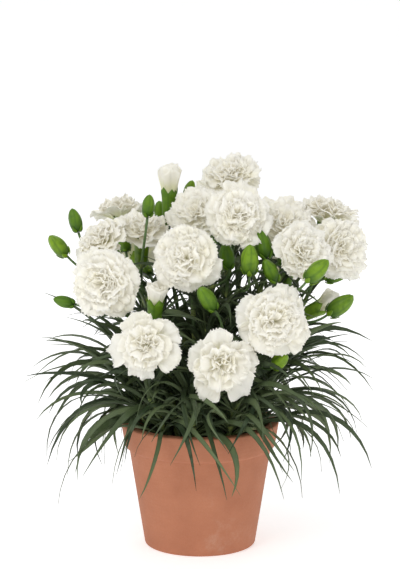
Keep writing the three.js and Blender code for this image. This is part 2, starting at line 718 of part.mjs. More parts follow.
const carnation = new THREE.Group();
for (const { name, look, solid } of [
  { name: "pot", look: "clay", solid: potSolid() },
  { name: "soil", look: "soil", solid: soilSolid() },
  ...finished,
]) {
  const mesh = new THREE.Mesh(geometryOf(solid), new THREE.MeshStandardMaterial(LOOKS[look]));
  mesh.name = name;
  carnation.add(mesh);
}

export default carnation;
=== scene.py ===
"""A white carnation in bloom, growing in a plain clay pot."""
import random
from functools import partial
from math import ceil, cos, exp, pi, radians, sin, sqrt

import bmesh
import bpy
import numpy as np
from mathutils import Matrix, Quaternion, Vector


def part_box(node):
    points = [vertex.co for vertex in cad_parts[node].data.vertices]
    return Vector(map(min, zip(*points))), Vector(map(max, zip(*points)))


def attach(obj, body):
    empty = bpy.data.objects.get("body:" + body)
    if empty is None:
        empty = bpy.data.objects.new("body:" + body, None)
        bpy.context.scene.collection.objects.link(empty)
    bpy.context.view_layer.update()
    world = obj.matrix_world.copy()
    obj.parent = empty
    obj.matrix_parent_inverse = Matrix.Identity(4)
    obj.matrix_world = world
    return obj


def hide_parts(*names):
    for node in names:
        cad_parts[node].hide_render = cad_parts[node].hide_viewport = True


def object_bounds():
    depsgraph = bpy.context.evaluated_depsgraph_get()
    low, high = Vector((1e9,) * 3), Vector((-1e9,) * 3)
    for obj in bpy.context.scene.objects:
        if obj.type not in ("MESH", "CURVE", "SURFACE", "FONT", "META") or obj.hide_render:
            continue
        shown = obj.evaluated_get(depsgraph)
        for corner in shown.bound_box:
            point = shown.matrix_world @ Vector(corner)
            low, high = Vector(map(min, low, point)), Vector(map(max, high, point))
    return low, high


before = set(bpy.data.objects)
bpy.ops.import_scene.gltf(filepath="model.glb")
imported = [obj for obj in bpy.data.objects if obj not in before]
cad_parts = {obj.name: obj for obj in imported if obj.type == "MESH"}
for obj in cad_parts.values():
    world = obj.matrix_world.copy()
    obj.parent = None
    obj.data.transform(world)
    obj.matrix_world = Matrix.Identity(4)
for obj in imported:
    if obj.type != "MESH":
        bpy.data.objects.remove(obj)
cad_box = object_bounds()
cad_low, cad_high = Vector(cad_box[0]), Vector(cad_box[1])

# ---- Camera -----------------------------------------------------
# It stands in front of the plant, a little above it, and looks slightly down at the flowers.

CAMERA_DISTANCE = 1.6
CAMERA_RISE = radians(10)
CAMERA_LENS = 134.7  # mm, on a 36 mm sensor
AIM_HEIGHT = 2 / 3  # as a share of the plant's height

aim = Vector((0, 0, AIM_HEIGHT * cad_high.z))
camera = bpy.data.objects.new("camera", bpy.data.cameras.new("camera"))
camera.data.lens = CAMERA_LENS
camera.location = aim + CAMERA_DISTANCE * Vector((0, -cos(CAMERA_RISE), sin(CAMERA_RISE)))
camera.rotation_euler = (pi / 2 - CAMERA_RISE, 0, 0)
bpy.context.scene.collection.objects.link(camera)
bpy.context.scene.camera = camera

# ---- Studio -----------------------------------------------------
# A white floor, white surroundings, and large soft lamps: the main one above and to the left, a
# weaker one to the right and one behind that lights the edges of the petals.

bpy.context.scene.view_settings.view_transform = "Standard"
bpy.context.scene.view_settings.look = "None"

WALL_LIGHT = 0.62
FLOOR_HALF_WIDTH = 20
FLOOR_GLOW = 0.43  # keeps the floor as pale far away as it is near the lamps

studio = bpy.data.worlds.new("studio")
studio.use_nodes = True
studio.node_tree.nodes["Background"].inputs["Color"].default_value = (1, 1, 1, 1)
studio.node_tree.nodes["Background"].inputs["Strength"].default_value = WALL_LIGHT
bpy.context.scene.world = studio


class Finish:
    """A new material, with short calls that add and join its nodes."""

    def __init__(self, name):
        self.material = bpy.data.materials.new(name)
        self.material.use_nodes = True
        self.nodes, self.link = self.material.node_tree.nodes, self.material.node_tree.links.new
        self.surface = self.nodes["Principled BSDF"].inputs

    def add(self, kind, **settings):
        node = self.nodes.new(kind)
        for key, value in settings.items():
            if hasattr(node, key):
                setattr(node, key, value)
            else:
                node.inputs[key.replace("_", " ")].default_value = value
        return node

    def pattern(self, kind, place=None, **settings):
        """A texture laid on the object's own coordinates, or on a place that comes from a node."""
        node = self.add("ShaderNodeTex" + kind, **settings)
        self.link(place or self.add("ShaderNodeTexCoord").outputs["Object"], node.inputs["Vector"])
        return node.outputs["Distance" if kind == "Voronoi" else "Fac"]

    def blend(self, share, low, high):
        """The colour between two colours at a share that comes from another node."""
        mix = self.add("ShaderNodeMix", data_type="RGBA")
        self.link(share, mix.inputs["Factor"])
        for socket, colour in (("A", low), ("B", high)):
            target = next(i for i in mix.inputs if i.name == socket and i.type == "RGBA")
            if isinstance(colour, tuple):
                target.default_value = (*colour, 1)
            else:
                self.link(colour, target)
        return next(o for o in mix.outputs if o.type == "RGBA")

    def ranged(self, value, low, high, out_low=0.0, out_high=1.0):
        """A number moved from one range to another, with soft ends."""
        node = self.add("ShaderNodeMapRange", interpolation_type="SMOOTHSTEP")
        self.link(value, node.inputs["Value"])
        ends = ("From Min", low), ("From Max", high), ("To Min", out_low), ("To Max", out_high)
        for socket, number in ends:
            node.inputs[socket].default_value = number
        return node.outputs["Result"]

    def bump(self, height, strength, distance, under=None):
        node = self.add("ShaderNodeBump", Strength=strength, Distance=distance)
        self.link(height, node.inputs["Height"])
        if under:
            self.link(under, node.inputs["Normal"])
        return node.outputs["Normal"]

    def settle(self, **values):
        """Sets the surface's sockets of the same names."""
        for socket, value in values.items():
            self.surface[socket.replace("_", " ")].default_value = value

    def join(self, **outputs):
        """Joins outputs to the surface's sockets of the same names."""
        for socket, output in outputs.items():
            self.link(output, self.surface[socket.replace("_", " ")])


floor_paint = Finish("floor_paint")
floor_paint.settle(Base_Color=(0.92, 0.92, 0.92, 1), Roughness=0.9)
floor_paint.settle(Emission_Color=(1, 1, 1, 1), Emission_Strength=FLOOR_GLOW)
floor_bm = bmesh.new()
bmesh.ops.create_grid(floor_bm, x_segments=1, y_segments=1, size=FLOOR_HALF_WIDTH)
floor_mesh = bpy.data.meshes.new("floor")
floor_bm.to_mesh(floor_mesh)
floor_bm.free()
floor_mesh.materials.append(floor_paint.material)
floor = bpy.data.objects.new("floor", floor_mesh)
bpy.context.scene.collection.objects.link(floor)


def soft_lamp(name, place, width, watts):
    lamp = bpy.data.objects.new(name, bpy.data.lights.new(name, "AREA"))
    lamp.data.size = width
    lamp.data.energy = watts
    lamp.location = place
    lamp.rotation_euler = (aim - Vector(place)).to_track_quat("-Z", "Y").to_euler()
    bpy.context.scene.collection.objects.link(lamp)


soft_lamp("main_lamp", place=(-0.7, -1.2, 1.5), width=0.7, watts=11.5)
soft_lamp("right_lamp", place=(1.3, -1.0, 0.7), width=0.9, watts=2)
soft_lamp("back_lamp", place=(0.3, 1.3, 1.2), width=0.9, watts=5)


# ---- Pot --------------------------------------------------------
# Red earthenware, thrown or jiggered on a wheel, with a thick band at the rim and three holes in
# the floor. It is fired unglazed, so it is dry, slightly rough and uneven in colour.


def lay_grid(bm, columns, rows, place, tone, material=0):
    """A smooth sheet of faces. place(u, v) says where it is, and tone(u, v) what its skin shows."""
    layer = bm.verts.layers.float_color.get("tone") or bm.verts.layers.float_color.new("tone")
    sheet = bmesh.ops.create_grid(bm, x_segments=columns, y_segments=rows, size=0.5)["verts"]
    for vert in sheet:
        u, v = vert.co.x + 0.5, vert.co.y + 0.5
        vert.co = place(u, v)
        vert[layer] = (*tone(u, v), 1)
    for face in {face for vert in sheet for face in vert.link_faces}:
        face.material_index = material
        face.smooth = True
    return sheet


def wrap(bm, around, along, place, material=0, tone=None):
    """Closes a skin round a line. place(u, v) says where it is, u once round and v along it."""
    skin = lay_grid(bm, around, along, place, tone or (lambda u, v: (v, u, 0)), material)
    bmesh.ops.remove_doubles(bm, verts=skin, dist=1e-6)


def finish_piece(name, bm, finishes, nodes):
    """Turns a bmesh into a piece that rides on the plant and stands for its CAD nodes."""
    mesh = bpy.data.meshes.new(name)
    bm.to_mesh(mesh)
    bm.free()
    for finish in finishes:
        mesh.materials.append(finish.material)
    piece = bpy.data.objects.new(name, mesh)
    bpy.context.scene.collection.objects.link(piece)
    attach(piece, "root")
    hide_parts(*nodes)
    return piece


pot_low, pot_high = (Vector(corner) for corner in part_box("pot"))
RIM_RADIUS = pot_high.x
POT_FOOT_RADIUS = 0.042
POT_WALL = 0.005
POT_FLOOR = 0.007
BAND_HEIGHT = 0.020
BAND_PROUD = 0.003
BAND_TOP_RADIUS = RIM_RADIUS - BAND_PROUD
BAND_SLOPE = 0.0012
FOOT_ROUNDING = 0.0015
BAND_HOLLOW = 0.0008
BAND_EDGE = 0.001
LIP_ROUNDING = 0.002
INSIDE_ROUNDING = 0.003
DRAIN_RADIUS = 0.005
DRAIN_CIRCLE = 0.024
DRAIN_COUNT = 3


def pot_outside(z):
    return POT_FOOT_RADIUS + (BAND_TOP_RADIUS - POT_FOOT_RADIUS) * z / pot_high.z


def pot_outline():
    """The pot's half section: up the outside, over the rim, down the inside and across the floor."""
    band_foot = pot_high.z - BAND_HEIGHT
    corners = [
        (0, 0, 0),
        (POT_FOOT_RADIUS, 0, FOOT_ROUNDING),
        (pot_outside(band_foot), band_foot, BAND_HOLLOW),
        (pot_outside(band_foot) + BAND_PROUD, band_foot + BAND_SLOPE, BAND_EDGE),
        (RIM_RADIUS, pot_high.z, LIP_ROUNDING),
        (pot_outside(pot_high.z) - POT_WALL, pot_high.z, LIP_ROUNDING),
        (pot_outside(POT_FLOOR) - POT_WALL, POT_FLOOR, INSIDE_ROUNDING),
        (0, POT_FLOOR, 0),
    ]
    outline = []
    for i, (radius, z, rounding) in enumerate(corners):
        here = Vector((radius, z))
        if not rounding:
            outline.append(here)
            continue
        before = (Vector(corners[i - 1][:2]) - here).normalized() * rounding
        after = (Vector(corners[i + 1][:2]) - here).normalized() * rounding
        for t in (0, 0.33, 0.67, 1):
            outline.append(here + (1 - t) ** 2 * before + t**2 * after)
    return outline


POT_AROUND = 96
POT_STEP = 0.006
outline = pot_outline()
spaced = []
for start, end in zip(outline, outline[1:]):
    steps = max(1, round((end - start).length / POT_STEP))
    spaced += [start.lerp(end, i / steps) for i in range(steps)]
spaced.append(outline[-1])


def on_pot(u, v):
    radius, z = spaced[round(v * (len(spaced) - 1))]
    angle = 2 * pi * u
    return Vector((radius * cos(angle), radius * sin(angle), z))


pot_bm = bmesh.new()
wrap(pot_bm, POT_AROUND, len(spaced) - 1, on_pot)
bmesh.ops.recalc_face_normals(pot_bm, faces=pot_bm.faces)

clay = Finish("fired_clay")
mottle = clay.pattern("Noise", Scale=38.0, Detail=6.0, Roughness=0.6)
grain = clay.pattern("Noise", Scale=900.0, Detail=3.0)
salts = clay.pattern("Noise", Scale=16.0, Detail=8.0, Roughness=0.7)
rings = clay.pattern("Wave", bands_direction="Z", Scale=95.0, Distortion=1.6, Detail=2.0)
clay_colour = clay.blend(mottle, (0.36, 0.125, 0.062), (0.54, 0.22, 0.12))
clay_colour = clay.blend(clay.ranged(salts, 0.56, 0.78, 0, 0.4), clay_colour, (0.62, 0.45, 0.35))
turning_marks = clay.bump(rings, 0.12, 0.0004)
clay.join(
    Base_Color=clay_colour,
    Roughness=clay.ranged(grain, 0.3, 0.7, 0.72, 0.92),
    Normal=clay.bump(grain, 0.3, 0.0003, under=turning_marks),
)

pot = finish_piece("clay_pot", pot_bm, [clay], ["pot"])

DRAIN_SIDES = 24
drill_bm = bmesh.new()
for i in range(DRAIN_COUNT):
    angle = pi / 2 + 2 * pi * i / DRAIN_COUNT
    sizes = dict(segments=DRAIN_SIDES, radius1=DRAIN_RADIUS, radius2=DRAIN_RADIUS, depth=3 * POT_FLOOR)
    bit = bmesh.ops.create_cone(drill_bm, cap_ends=True, **sizes)["verts"]
    across = Vector((DRAIN_CIRCLE * cos(angle), DRAIN_CIRCLE * sin(angle), 0))
    bmesh.ops.translate(drill_bm, verts=bit, vec=across)
drill_mesh = bpy.data.meshes.new("drain_drill")
drill_bm.to_mesh(drill_mesh)
drill_bm.free()
drill = bpy.data.objects.new("drain_drill", drill_mesh)
bpy.context.scene.collection.objects.link(drill)
drilling = pot.modifiers.new("drain_holes", "BOOLEAN")
drilling.operation = "DIFFERENCE"
drilling.object = drill
drilled = bpy.data.meshes.new_from_object(pot.evaluated_get(bpy.context.evaluated_depsgraph_get()))
pot.modifiers.clear()
pot.data = drilled
bpy.data.objects.remove(drill)

# ---- Soil -------------------------------------------------------
# Moist dark potting soil, filled to below the rim and crowned in the middle. Its top is crumbly:
# the lumps are shaped, and small crumbs lie loose on it.

SOIL_CROWN = 0.003
SOIL_SHOULDER_ACROSS = 0.6
SOIL_SHOULDER_UP = 0.8
TOUCH_GAP = 0.0003

soil_low, soil_high = (Vector(corner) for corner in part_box("soil"))
soil_edge = soil_high.z - SOIL_CROWN
soil_radius = pot_outside(soil_edge) - POT_WALL - TOUCH_GAP
shoulder_radius = SOIL_SHOULDER_ACROSS * soil_radius
shoulder_z = soil_edge + SOIL_SHOULDER_UP * SOIL_CROWN


def soil_surface(from_axis):
    """The height of the soil at a distance, or an array of distances, from the pot's axis."""
    return np.interp(from_axis, [0, shoulder_radius, soil_radius], [soil_high.z, shoulder_z, soil_edge])


def lumps(x, y):
    """Coarse and fine waves that cross and bend each other, so that they don't seem to repeat."""
    waves = sin(410 * x + 3 * sin(190 * y)) * sin(370 * y + 2.5 * sin(230 * x))
    fine = sin(1130 * x + 1.7) * sin(1270 * y + 4 * sin(500 * x))
    return 0.0007 * waves + 0.0004 * fine


SOIL_AROUND = 90
SOIL_RINGS = 30
UNDERSIDE = 0.1  # the share of the rings that is below


def on_soil(u, v):
    angle = 2 * pi * u
    if v < UNDERSIDE:
        radius = pot_outside(soil_low.z) - POT_WALL - TOUCH_GAP if round(v * SOIL_RINGS) else 0
        return Vector((radius * cos(angle), radius * sin(angle), soil_low.z))
    radius = soil_radius * (1 - (v - UNDERSIDE) / (1 - UNDERSIDE)) if v < 1 else 0
    x, y = radius * cos(angle), radius * sin(angle)
    lump = lumps(x, y) if 0 < radius < soil_radius else 0
    return Vector((x, y, float(soil_surface(radius)) + lump))


soil_bm = bmesh.new()
wrap(soil_bm, SOIL_AROUND, SOIL_RINGS, on_soil)
crumb_dice = random.Random(11)
CRUMBS = 420
CRUMBS_OUT = 0.97  # how far out they lie, as a share of the soil's radius
CRUMB_RADII = (0.0005, 0.0015)
CRUMB_STRETCH = (0.6, 1.3)
for _ in range(CRUMBS):
    radius = soil_radius * CRUMBS_OUT * sqrt(crumb_dice.random())
    angle = crumb_dice.uniform(0, 2 * pi)
    x, y = radius * cos(angle), radius * sin(angle)
    size = crumb_dice.uniform(*CRUMB_RADII)
    crumb = bmesh.ops.create_icosphere(soil_bm, subdivisions=1, radius=size)["verts"]
    bmesh.ops.scale(soil_bm, verts=crumb, vec=[crumb_dice.uniform(*CRUMB_STRETCH) for _ in range(3)])
    top = float(soil_surface(radius)) + lumps(x, y)
    bmesh.ops.translate(soil_bm, verts=crumb, vec=(x, y, top))
bmesh.ops.recalc_face_normals(soil_bm, faces=soil_bm.faces)

earth = Finish("moist_soil")
damp = earth.pattern("Noise", Scale=120.0, Detail=8.0, Roughness=0.7)
fibres = earth.pattern("Voronoi", Scale=700.0)
earth.join(
    Base_Color=earth.blend(damp, (0.012, 0.008, 0.005), (0.075, 0.048, 0.03)),
    Roughness=earth.ranged(damp, 0.3, 0.7, 0.7, 0.95),
    Normal=earth.bump(fibres, 0.6, 0.0006),
)

finish_piece("potting_soil", soil_bm, [earth], ["soil"])

# ---- How the plant grows ----------------------------------------
# The plan of the plant: where its stems root, and where its flowers and buds are held. Stems find a
# clear way from the soil to their heads, and leaves grow until they would touch a neighbour. It
# repeats the CAD model's plan and rule, so that each stem and leaf lies where its solid is.
#
# `root` is the angle round the pot in degrees and the share of the soil's radius. A head's `at` is
# its middle above the soil's edge, and `leaves` is where its twig leaves the main stem.

bloom, half_open, bud = (partial(dict, kind=kind) for kind in ("bloom", "half_open", "bud"))
STEMS = [
    dict(name="front_centre", root=(-75, 0.62), heads=[
        bloom(at=(0.016, -0.092, 0.073), face=(0.12, -0.97, -0.05), size=1.02),
        bud(at=(0.005, -0.068, 0.118), face=(-0.5, -0.3, 0.8), size=1.0, leaves=0.45),
    ]),
    dict(name="front_left", root=(-125, 0.66), heads=[
        bloom(at=(-0.040, -0.088, 0.087), face=(-0.2, -0.96, 0.1), size=0.98),
        half_open(at=(-0.032, -0.058, 0.118), face=(0.05, -0.3, 0.95), size=0.75, leaves=0.5),
    ]),
    dict(name="front_right", root=(-45, 0.66), heads=[
        bloom(at=(0.054, -0.080, 0.104), face=(0.2, -0.93, 0.2), size=1.06),
        bud(at=(0.058, -0.066, 0.072), face=(0.35, -0.6, 0.5), size=0.9, leaves=0.5),
    ]),
    dict(name="left", root=(-160, 0.6), heads=[
        bloom(at=(-0.071, -0.052, 0.126), face=(-0.4, -0.9, 0.12), size=1.08),
        bud(at=(-0.101, -0.020, 0.107), face=(-0.9, -0.1, 0.25), size=0.75, leaves=0.55),
    ]),
    dict(name="centre", root=(-100, 0.3), heads=[
        bloom(at=(-0.010, -0.055, 0.146), face=(-0.05, -0.95, 0.3), size=1.02),
        bud(at=(0.020, -0.018, 0.141), face=(-0.15, -0.2, 0.95), size=0.95, leaves=0.7),
    ]),
    dict(name="upper_right_of_centre", root=(-50, 0.35), heads=[
        bloom(at=(0.028, -0.036, 0.175), face=(0.05, -0.85, 0.5), size=0.98),
        bud(at=(0.036, -0.054, 0.144), face=(0.0, -0.25, 0.95), size=1.1, leaves=0.6),
        bud(at=(0.046, -0.036, 0.153), face=(-0.25, -0.1, 0.95), size=1.05, leaves=0.72),
    ]),
    dict(name="upper_left_of_centre", root=(130, 0.25), heads=[
        bloom(at=(-0.003, 0.004, 0.171), face=(-0.3, -0.75, 0.55), size=0.92),
    ]),
    dict(name="upper_left", root=(175, 0.5), heads=[
        bloom(at=(-0.076, -0.010, 0.153), face=(-0.6, -0.35, 0.72), size=0.95),
        bud(at=(-0.106, -0.002, 0.146), face=(-0.6, -0.2, 0.75), size=0.95, leaves=0.7),
        bud(at=(-0.094, 0.014, 0.163), face=(-0.25, 0.1, 0.95), size=0.85, leaves=0.82),
    ]),
    dict(name="left_of_centre", root=(150, 0.55), heads=[
        bloom(at=(-0.043, 0.010, 0.160), face=(0.05, -0.35, 0.93), size=0.9),
        bloom(at=(-0.062, 0.050, 0.168), face=(-0.15, 0.3, 0.93), size=0.85, leaves=0.6),
        bud(at=(-0.038, -0.014, 0.178), face=(0.1, -0.2, 0.95), size=0.8, leaves=0.85),
    ]),
    dict(name="tall_left", root=(100, 0.45), heads=[
        half_open(at=(-0.023, 0.027, 0.189), face=(0.02, -0.1, 1.0), size=1.0),
        bud(at=(-0.008, 0.042, 0.182), face=(0.3, 0.0, 0.95), size=0.75, leaves=0.8),
        bud(at=(-0.030, 0.048, 0.164), face=(-0.15, -0.2, 0.95), size=0.9, leaves=0.7),
    ]),
    dict(name="tall_centre", root=(45, 0.3), heads=[
        bloom(at=(0.022, 0.034, 0.196), face=(-0.2, -0.5, 0.82), size=1.02),
    ]),
    dict(name="upper_right", root=(-15, 0.5), heads=[
        bloom(at=(0.065, 0.004, 0.164), face=(0.25, -0.6, 0.72), size=1.02),
        bud(at=(0.051, -0.048, 0.135), face=(-0.45, -0.2, 0.85), size=0.9, leaves=0.6),
    ]),
    dict(name="right", root=(-28, 0.75), heads=[
        bloom(at=(0.077, -0.044, 0.149), face=(0.45, -0.8, 0.35), size=0.92),
        bud(at=(0.084, -0.072, 0.139), face=(0.6, -0.2, 0.65), size=1.05, leaves=0.72),
    ]),
    dict(name="far_right", root=(5, 0.7), heads=[
        bloom(at=(0.106, -0.006, 0.145), face=(0.5, -0.8, 0.25), size=0.98),
        bud(at=(0.104, -0.024, 0.105), face=(0.75, -0.1, 0.6), size=1.1, leaves=0.5),
    ]),
    dict(name="tall_right", root=(30, 0.6), heads=[
        bloom(at=(0.098, 0.036, 0.168), face=(0.22, 0.05, 0.97), size=1.0),
        bud(at=(0.104, 0.014, 0.122), face=(0.85, -0.1, 0.35), size=1.0, leaves=0.55),
        bud(at=(0.071, 0.030, 0.167), face=(-0.25, 0.1, 0.95), size=0.75, leaves=0.85),
    ]),
    dict(name="low_right", root=(15, 0.85), heads=[
        bloom(at=(0.069, 0.062, 0.125), face=(0.15, 0.6, 0.75), size=0.8),
        half_open(at=(0.096, 0.022, 0.097), face=(0.7, -0.1, 0.35), size=0.85, leaves=0.55),
    ]),
    dict(name="back_left", root=(125, 0.75), heads=[
        bloom(at=(-0.052, 0.076, 0.131), face=(-0.35, 0.85, 0.4), size=0.98),
        bud(at=(-0.074, 0.050, 0.123), face=(-0.6, 0.4, 0.7), size=0.9, leaves=0.6),
    ]),
    dict(name="back", root=(75, 0.75), heads=[
        bloom(at=(0.014, 0.084, 0.149), face=(0.1, 0.85, 0.5), size=1.0),
        bud(at=(0.040, 0.070, 0.129), face=(0.4, 0.5, 0.8), size=0.95, leaves=0.6),
    ]),
]

# Shoots that bear no flower: nine lean out over the rim, and three stand up between the stems.
SHOOT_PAIRS = 5
SHOOTS = [
    dict(root=(-96, 0.90), height=0.044, lean=38),
    dict(root=(-60, 0.92), height=0.040, lean=40),
    dict(root=(-18, 0.90), height=0.046, lean=36),
    dict(root=(26, 0.92), height=0.042, lean=38),
    dict(root=(70, 0.92), height=0.044, lean=36),
    dict(root=(112, 0.92), height=0.042, lean=36),
    dict(root=(154, 0.90), height=0.044, lean=38),
    dict(root=(194, 0.90), height=0.046, lean=38),
    dict(root=(230, 0.90), height=0.042, lean=40),
    dict(root=(-78, 0.34), height=0.084, lean=10),
    dict(root=(2, 0.30), height=0.090, lean=12),
    dict(root=(90, 0.22), height=0.088, lean=12),
]

STEM_RADIUS = 0.0016
TWIG_RADIUS = 0.0011
STEM_ROOM = 0.0012
STEM_BENDS = (0.009, 0.018, 0.027)  # how far a stem may bend sideways to find room
BEND_WAYS = 8
END_BEND = 0.6  # how much of a bend is left near the head
EASE = 0.38  # how long a stem keeps its direction at each end, as a share of its span
ROOT_LEAN = 0.25
TWIG_TURN = 0.8
BLOOM_RADIUS = 0.025
BLOOM_DEPTH = 0.025
BLOOM_SUNK = 0.45  # how far below its middle the calyx ends, as a share of its depth
HALF_OPEN_RADIUS = 0.0095
HALF_OPEN_DEPTH = 0.021
HALF_OPEN_SUNK = 0.3
CALYX_LENGTH = 0.027
CALYX_FIXED, CALYX_GROWING = 0.7, 0.3  # shares of its length that don't and do follow its size
CALYX_RADIUS = 0.0056
BUD_LENGTH = 0.022
BUD_RADIUS = 0.0059
LEAF_WIDTH = 0.0044
LEAF_ROOM = 0.0003
SHORTEST_LEAF = 0.028
LONGEST_STEM_LEAF = 0.084
LONGEST_SHOOT_LEAF = 0.112
STEM_LEAF_PLACES = (0.2, 0.42, 0.64)


def round_pot(degrees, out, z):
    return np.array([out * cos(radians(degrees)), out * sin(radians(degrees)), z])


def unit(vector):
    return vector / np.linalg.norm(vector)


class Line:
    """A curve whose places are shares of its length. at(t) gives the curve's own points."""

    def __init__(self, at):
        self.at = at
        self.ts = np.linspace(0, 1, 201)
        steps = np.linalg.norm(np.diff(at(self.ts), axis=0), axis=1)
        self.lengths = np.concatenate([[0], np.cumsum(steps)])
        self.length = self.lengths[-1]

    def t(self, share):
        return np.interp(np.asarray(share) * self.length, self.lengths, self.ts)

    def point(self, share):
        return self.at(np.atleast_1d(self.t(share)))[0]

    def way(self, share):
        t = self.t(share)
        ends = self.at(np.clip(np.array([t - 1e-4, t + 1e-4]), 0, 1))
        return unit(ends[1] - ends[0])

    def points(self, count):
        return self.at(self.t(np.linspace(0, 1, count + 1)))


def bent_line(start, start_way, end, end_way, bend):
    reach = EASE * np.linalg.norm(end - start)
    a, b = start + start_way * reach + bend, end - end_way * reach + END_BEND * bend

    def at(t):
        t = np.asarray(t)[:, None]
        s = 1 - t
        return s**3 * start + 3 * s**2 * t * a + 3 * s * t**2 * b + t**3 * end

    return Line(at)


def through(points):
    """A curve through points, its bends eased by how far apart they are."""
    points = np.array(points)
    padded = np.vstack([2 * points[0] - points[1], points, 2 * points[-1] - points[-2]])

    def at(t):
        place = np.asarray(t) * (len(points) - 1)
        i = np.minimum(place.astype(int), len(points) - 2)
        w = (place - i)[:, None]
        x0, x1, x2, x3 = (padded[i + k] for k in range(4))
        d0, d1, d2 = (
            np.sqrt(np.linalg.norm(b - a, axis=1))[:, None] for a, b in ((x0, x1), (x1, x2), (x2, x3))
        )
        out = ((x1 - x0) / d0 - (x2 - x0) / (d0 + d1) + (x2 - x1) / d1) * d1
        into = ((x2 - x1) / d1 - (x3 - x1) / (d1 + d2) + (x3 - x2) / d2) * d1
        bend = -3 * x1 + 3 * x2 - 2 * out - into
        return x1 + out * w + bend * w**2 + (2 * x1 - 2 * x2 + out + into) * w**3

    return Line(at)


def root_point(root):
    from_axis = root[1] * (soil_radius - 3 * STEM_RADIUS)
    z = float(soil_surface(max(from_axis - STEM_RADIUS, 0))) + 2 * TOUCH_GAP
    return round_pot(root[0], from_axis, z)


# What has grown so far, as balls that later pieces keep clear of.
BIGGEST_BALL = 0.018
ball_points, ball_radii, ball_owners = np.empty((0, 3)), np.empty(0), np.empty(0, dtype=object)


def occupy(owner, points, radius):
    global ball_points, ball_radii, ball_owners
    ball_points = np.vstack([ball_points, points])
    ball_radii = np.concatenate([ball_radii, np.full(len(points), radius)])
    ball_owners = np.concatenate([ball_owners, np.full(len(points), owner, dtype=object)])


def meets_pot(points, radius):
    from_axis = np.hypot(points[:, 0], points[:, 1])
    reach = radius + TOUCH_GAP
    inside = pot_outside(points[:, 2]) - POT_WALL - reach
    in_headspace = (points[:, 2] > soil_surface(from_axis)) & (from_axis < inside)
    away = (points[:, 2] > pot_high.z + reach) | (from_axis > RIM_RADIUS + reach)
    return ~away & ~in_headspace


def clear_points(owner, points, radius, room):
    """How many points of a line, from its start, are clear of the pot and of other owners."""
    reach = BIGGEST_BALL + radius + room
    low, high = points.min(axis=0) - reach, points.max(axis=0) + reach
    near = ((ball_points > low) & (ball_points < high)).all(axis=1)
    near[near] = ball_owners[near] != owner
    gaps = np.linalg.norm(points[:, None] - ball_points[None, near], axis=2)
    blocked = meets_pot(points, radius) | (gaps < ball_radii[near] + radius + room).any(axis=1)
    blocked |= ((points < np.array(cad_low)) | (points > np.array(cad_high))).any(axis=1)
    return int(blocked.argmax()) if blocked.any() else len(points)


def lay_out(head):
    """Where a head's green part stands, and for a flower where its petals come out."""
    middle = np.array(head["at"]) + [0, 0, soil_edge]
    way = unit(np.array(head["face"], float))
    size = head["size"]
    if head["kind"] == "bud":
        length = BUD_LENGTH * size
        head.update(way=way, length=length, radius=BUD_RADIUS * size, foot=middle - way * length / 2)
        return
    sunk = BLOOM_SUNK * BLOOM_DEPTH if head["kind"] == "bloom" else HALF_OPEN_SUNK * HALF_OPEN_DEPTH
    length = CALYX_LENGTH * (CALYX_FIXED + CALYX_GROWING * size)
    mouth = middle - way * sunk * size
    head.update(way=way, length=length, radius=CALYX_RADIUS, mouth=mouth, foot=mouth - way * length)


def straight(start, way, length, count):
    return start + np.linspace(0, length, count + 1)[:, None] * way


# The balls that stand for a head: along its calyx, and a middle and a ring for its petals.
CALYX_BALLS = 5
HALF_OPEN_BALLS = 3
BALLS_UP, MIDDLE_BALL, RING_OUT, RING_BALL, RING_COUNT = 0.5, 0.6, 0.6, 0.42, 8


def occupy_head(stem, i, head):
    occupy(stem["name"], straight(head["foot"], head["way"], head["length"], CALYX_BALLS), head["radius"])
    if head["kind"] == "bud":
        return
    petals, size = f"petals of {stem['name']} {i}", head["size"]
    if head["kind"] == "half_open":
        line = straight(head["mouth"], head["way"], HALF_OPEN_DEPTH * size, HALF_OPEN_BALLS)
        occupy(petals, line[1:], HALF_OPEN_RADIUS * size)
        return
    spread = BLOOM_RADIUS * size
    middle = head["mouth"] + head["way"] * BALLS_UP * spread
    side = Vector((head["way"][1], -head["way"][0], 0)).normalized()
    turns = [Quaternion(Vector(head["way"]), 2 * pi * k / RING_COUNT) for k in range(RING_COUNT)]
    ring = [middle + RING_OUT * spread * np.array(turn @ side) for turn in turns]
    occupy(petals, [middle], MIDDLE_BALL * spread)
    occupy(petals, ring, RING_BALL * spread)


BALL_SPACING = 0.003
BENDS = [np.zeros(3)] + [
    round_pot(360 / BEND_WAYS * i, far, 0) for far in STEM_BENDS for i in range(BEND_WAYS)
]


def grow_stem(owner, start, start_way, end, end_way, radius):
    best, most = None, -1
    for bend in BENDS:
        line = bent_line(start, start_way, end, end_way, bend)
        points = line.points(ceil(line.length / BALL_SPACING))
        clear = clear_points(owner, points, radius, STEM_ROOM) / len(points)
        if clear > most:
            best, most = (line, points), clear
        if clear == 1:
            break
    occupy(owner, best[1], radius)
    return best[0]


def grow_head_stem(stem, head):
    if head is stem["heads"][0]:
        root = root_point(stem["root"])
        up = unit(np.array([0, 0, 1]) + np.array([root[0], root[1], 0]) * ROOT_LEAN / soil_radius)
        return grow_stem(stem["name"], root, up, head["foot"], head["way"], STEM_RADIUS)
    main = stem["heads"][0]["line"]
    start = main.point(head["leaves"])
    way = unit(main.way(head["leaves"]) + TWIG_TURN * unit(head["foot"] - start))
    return grow_stem(stem["name"], start, way, head["foot"], head["way"], TWIG_RADIUS)


SHOOT_STEPS = 4


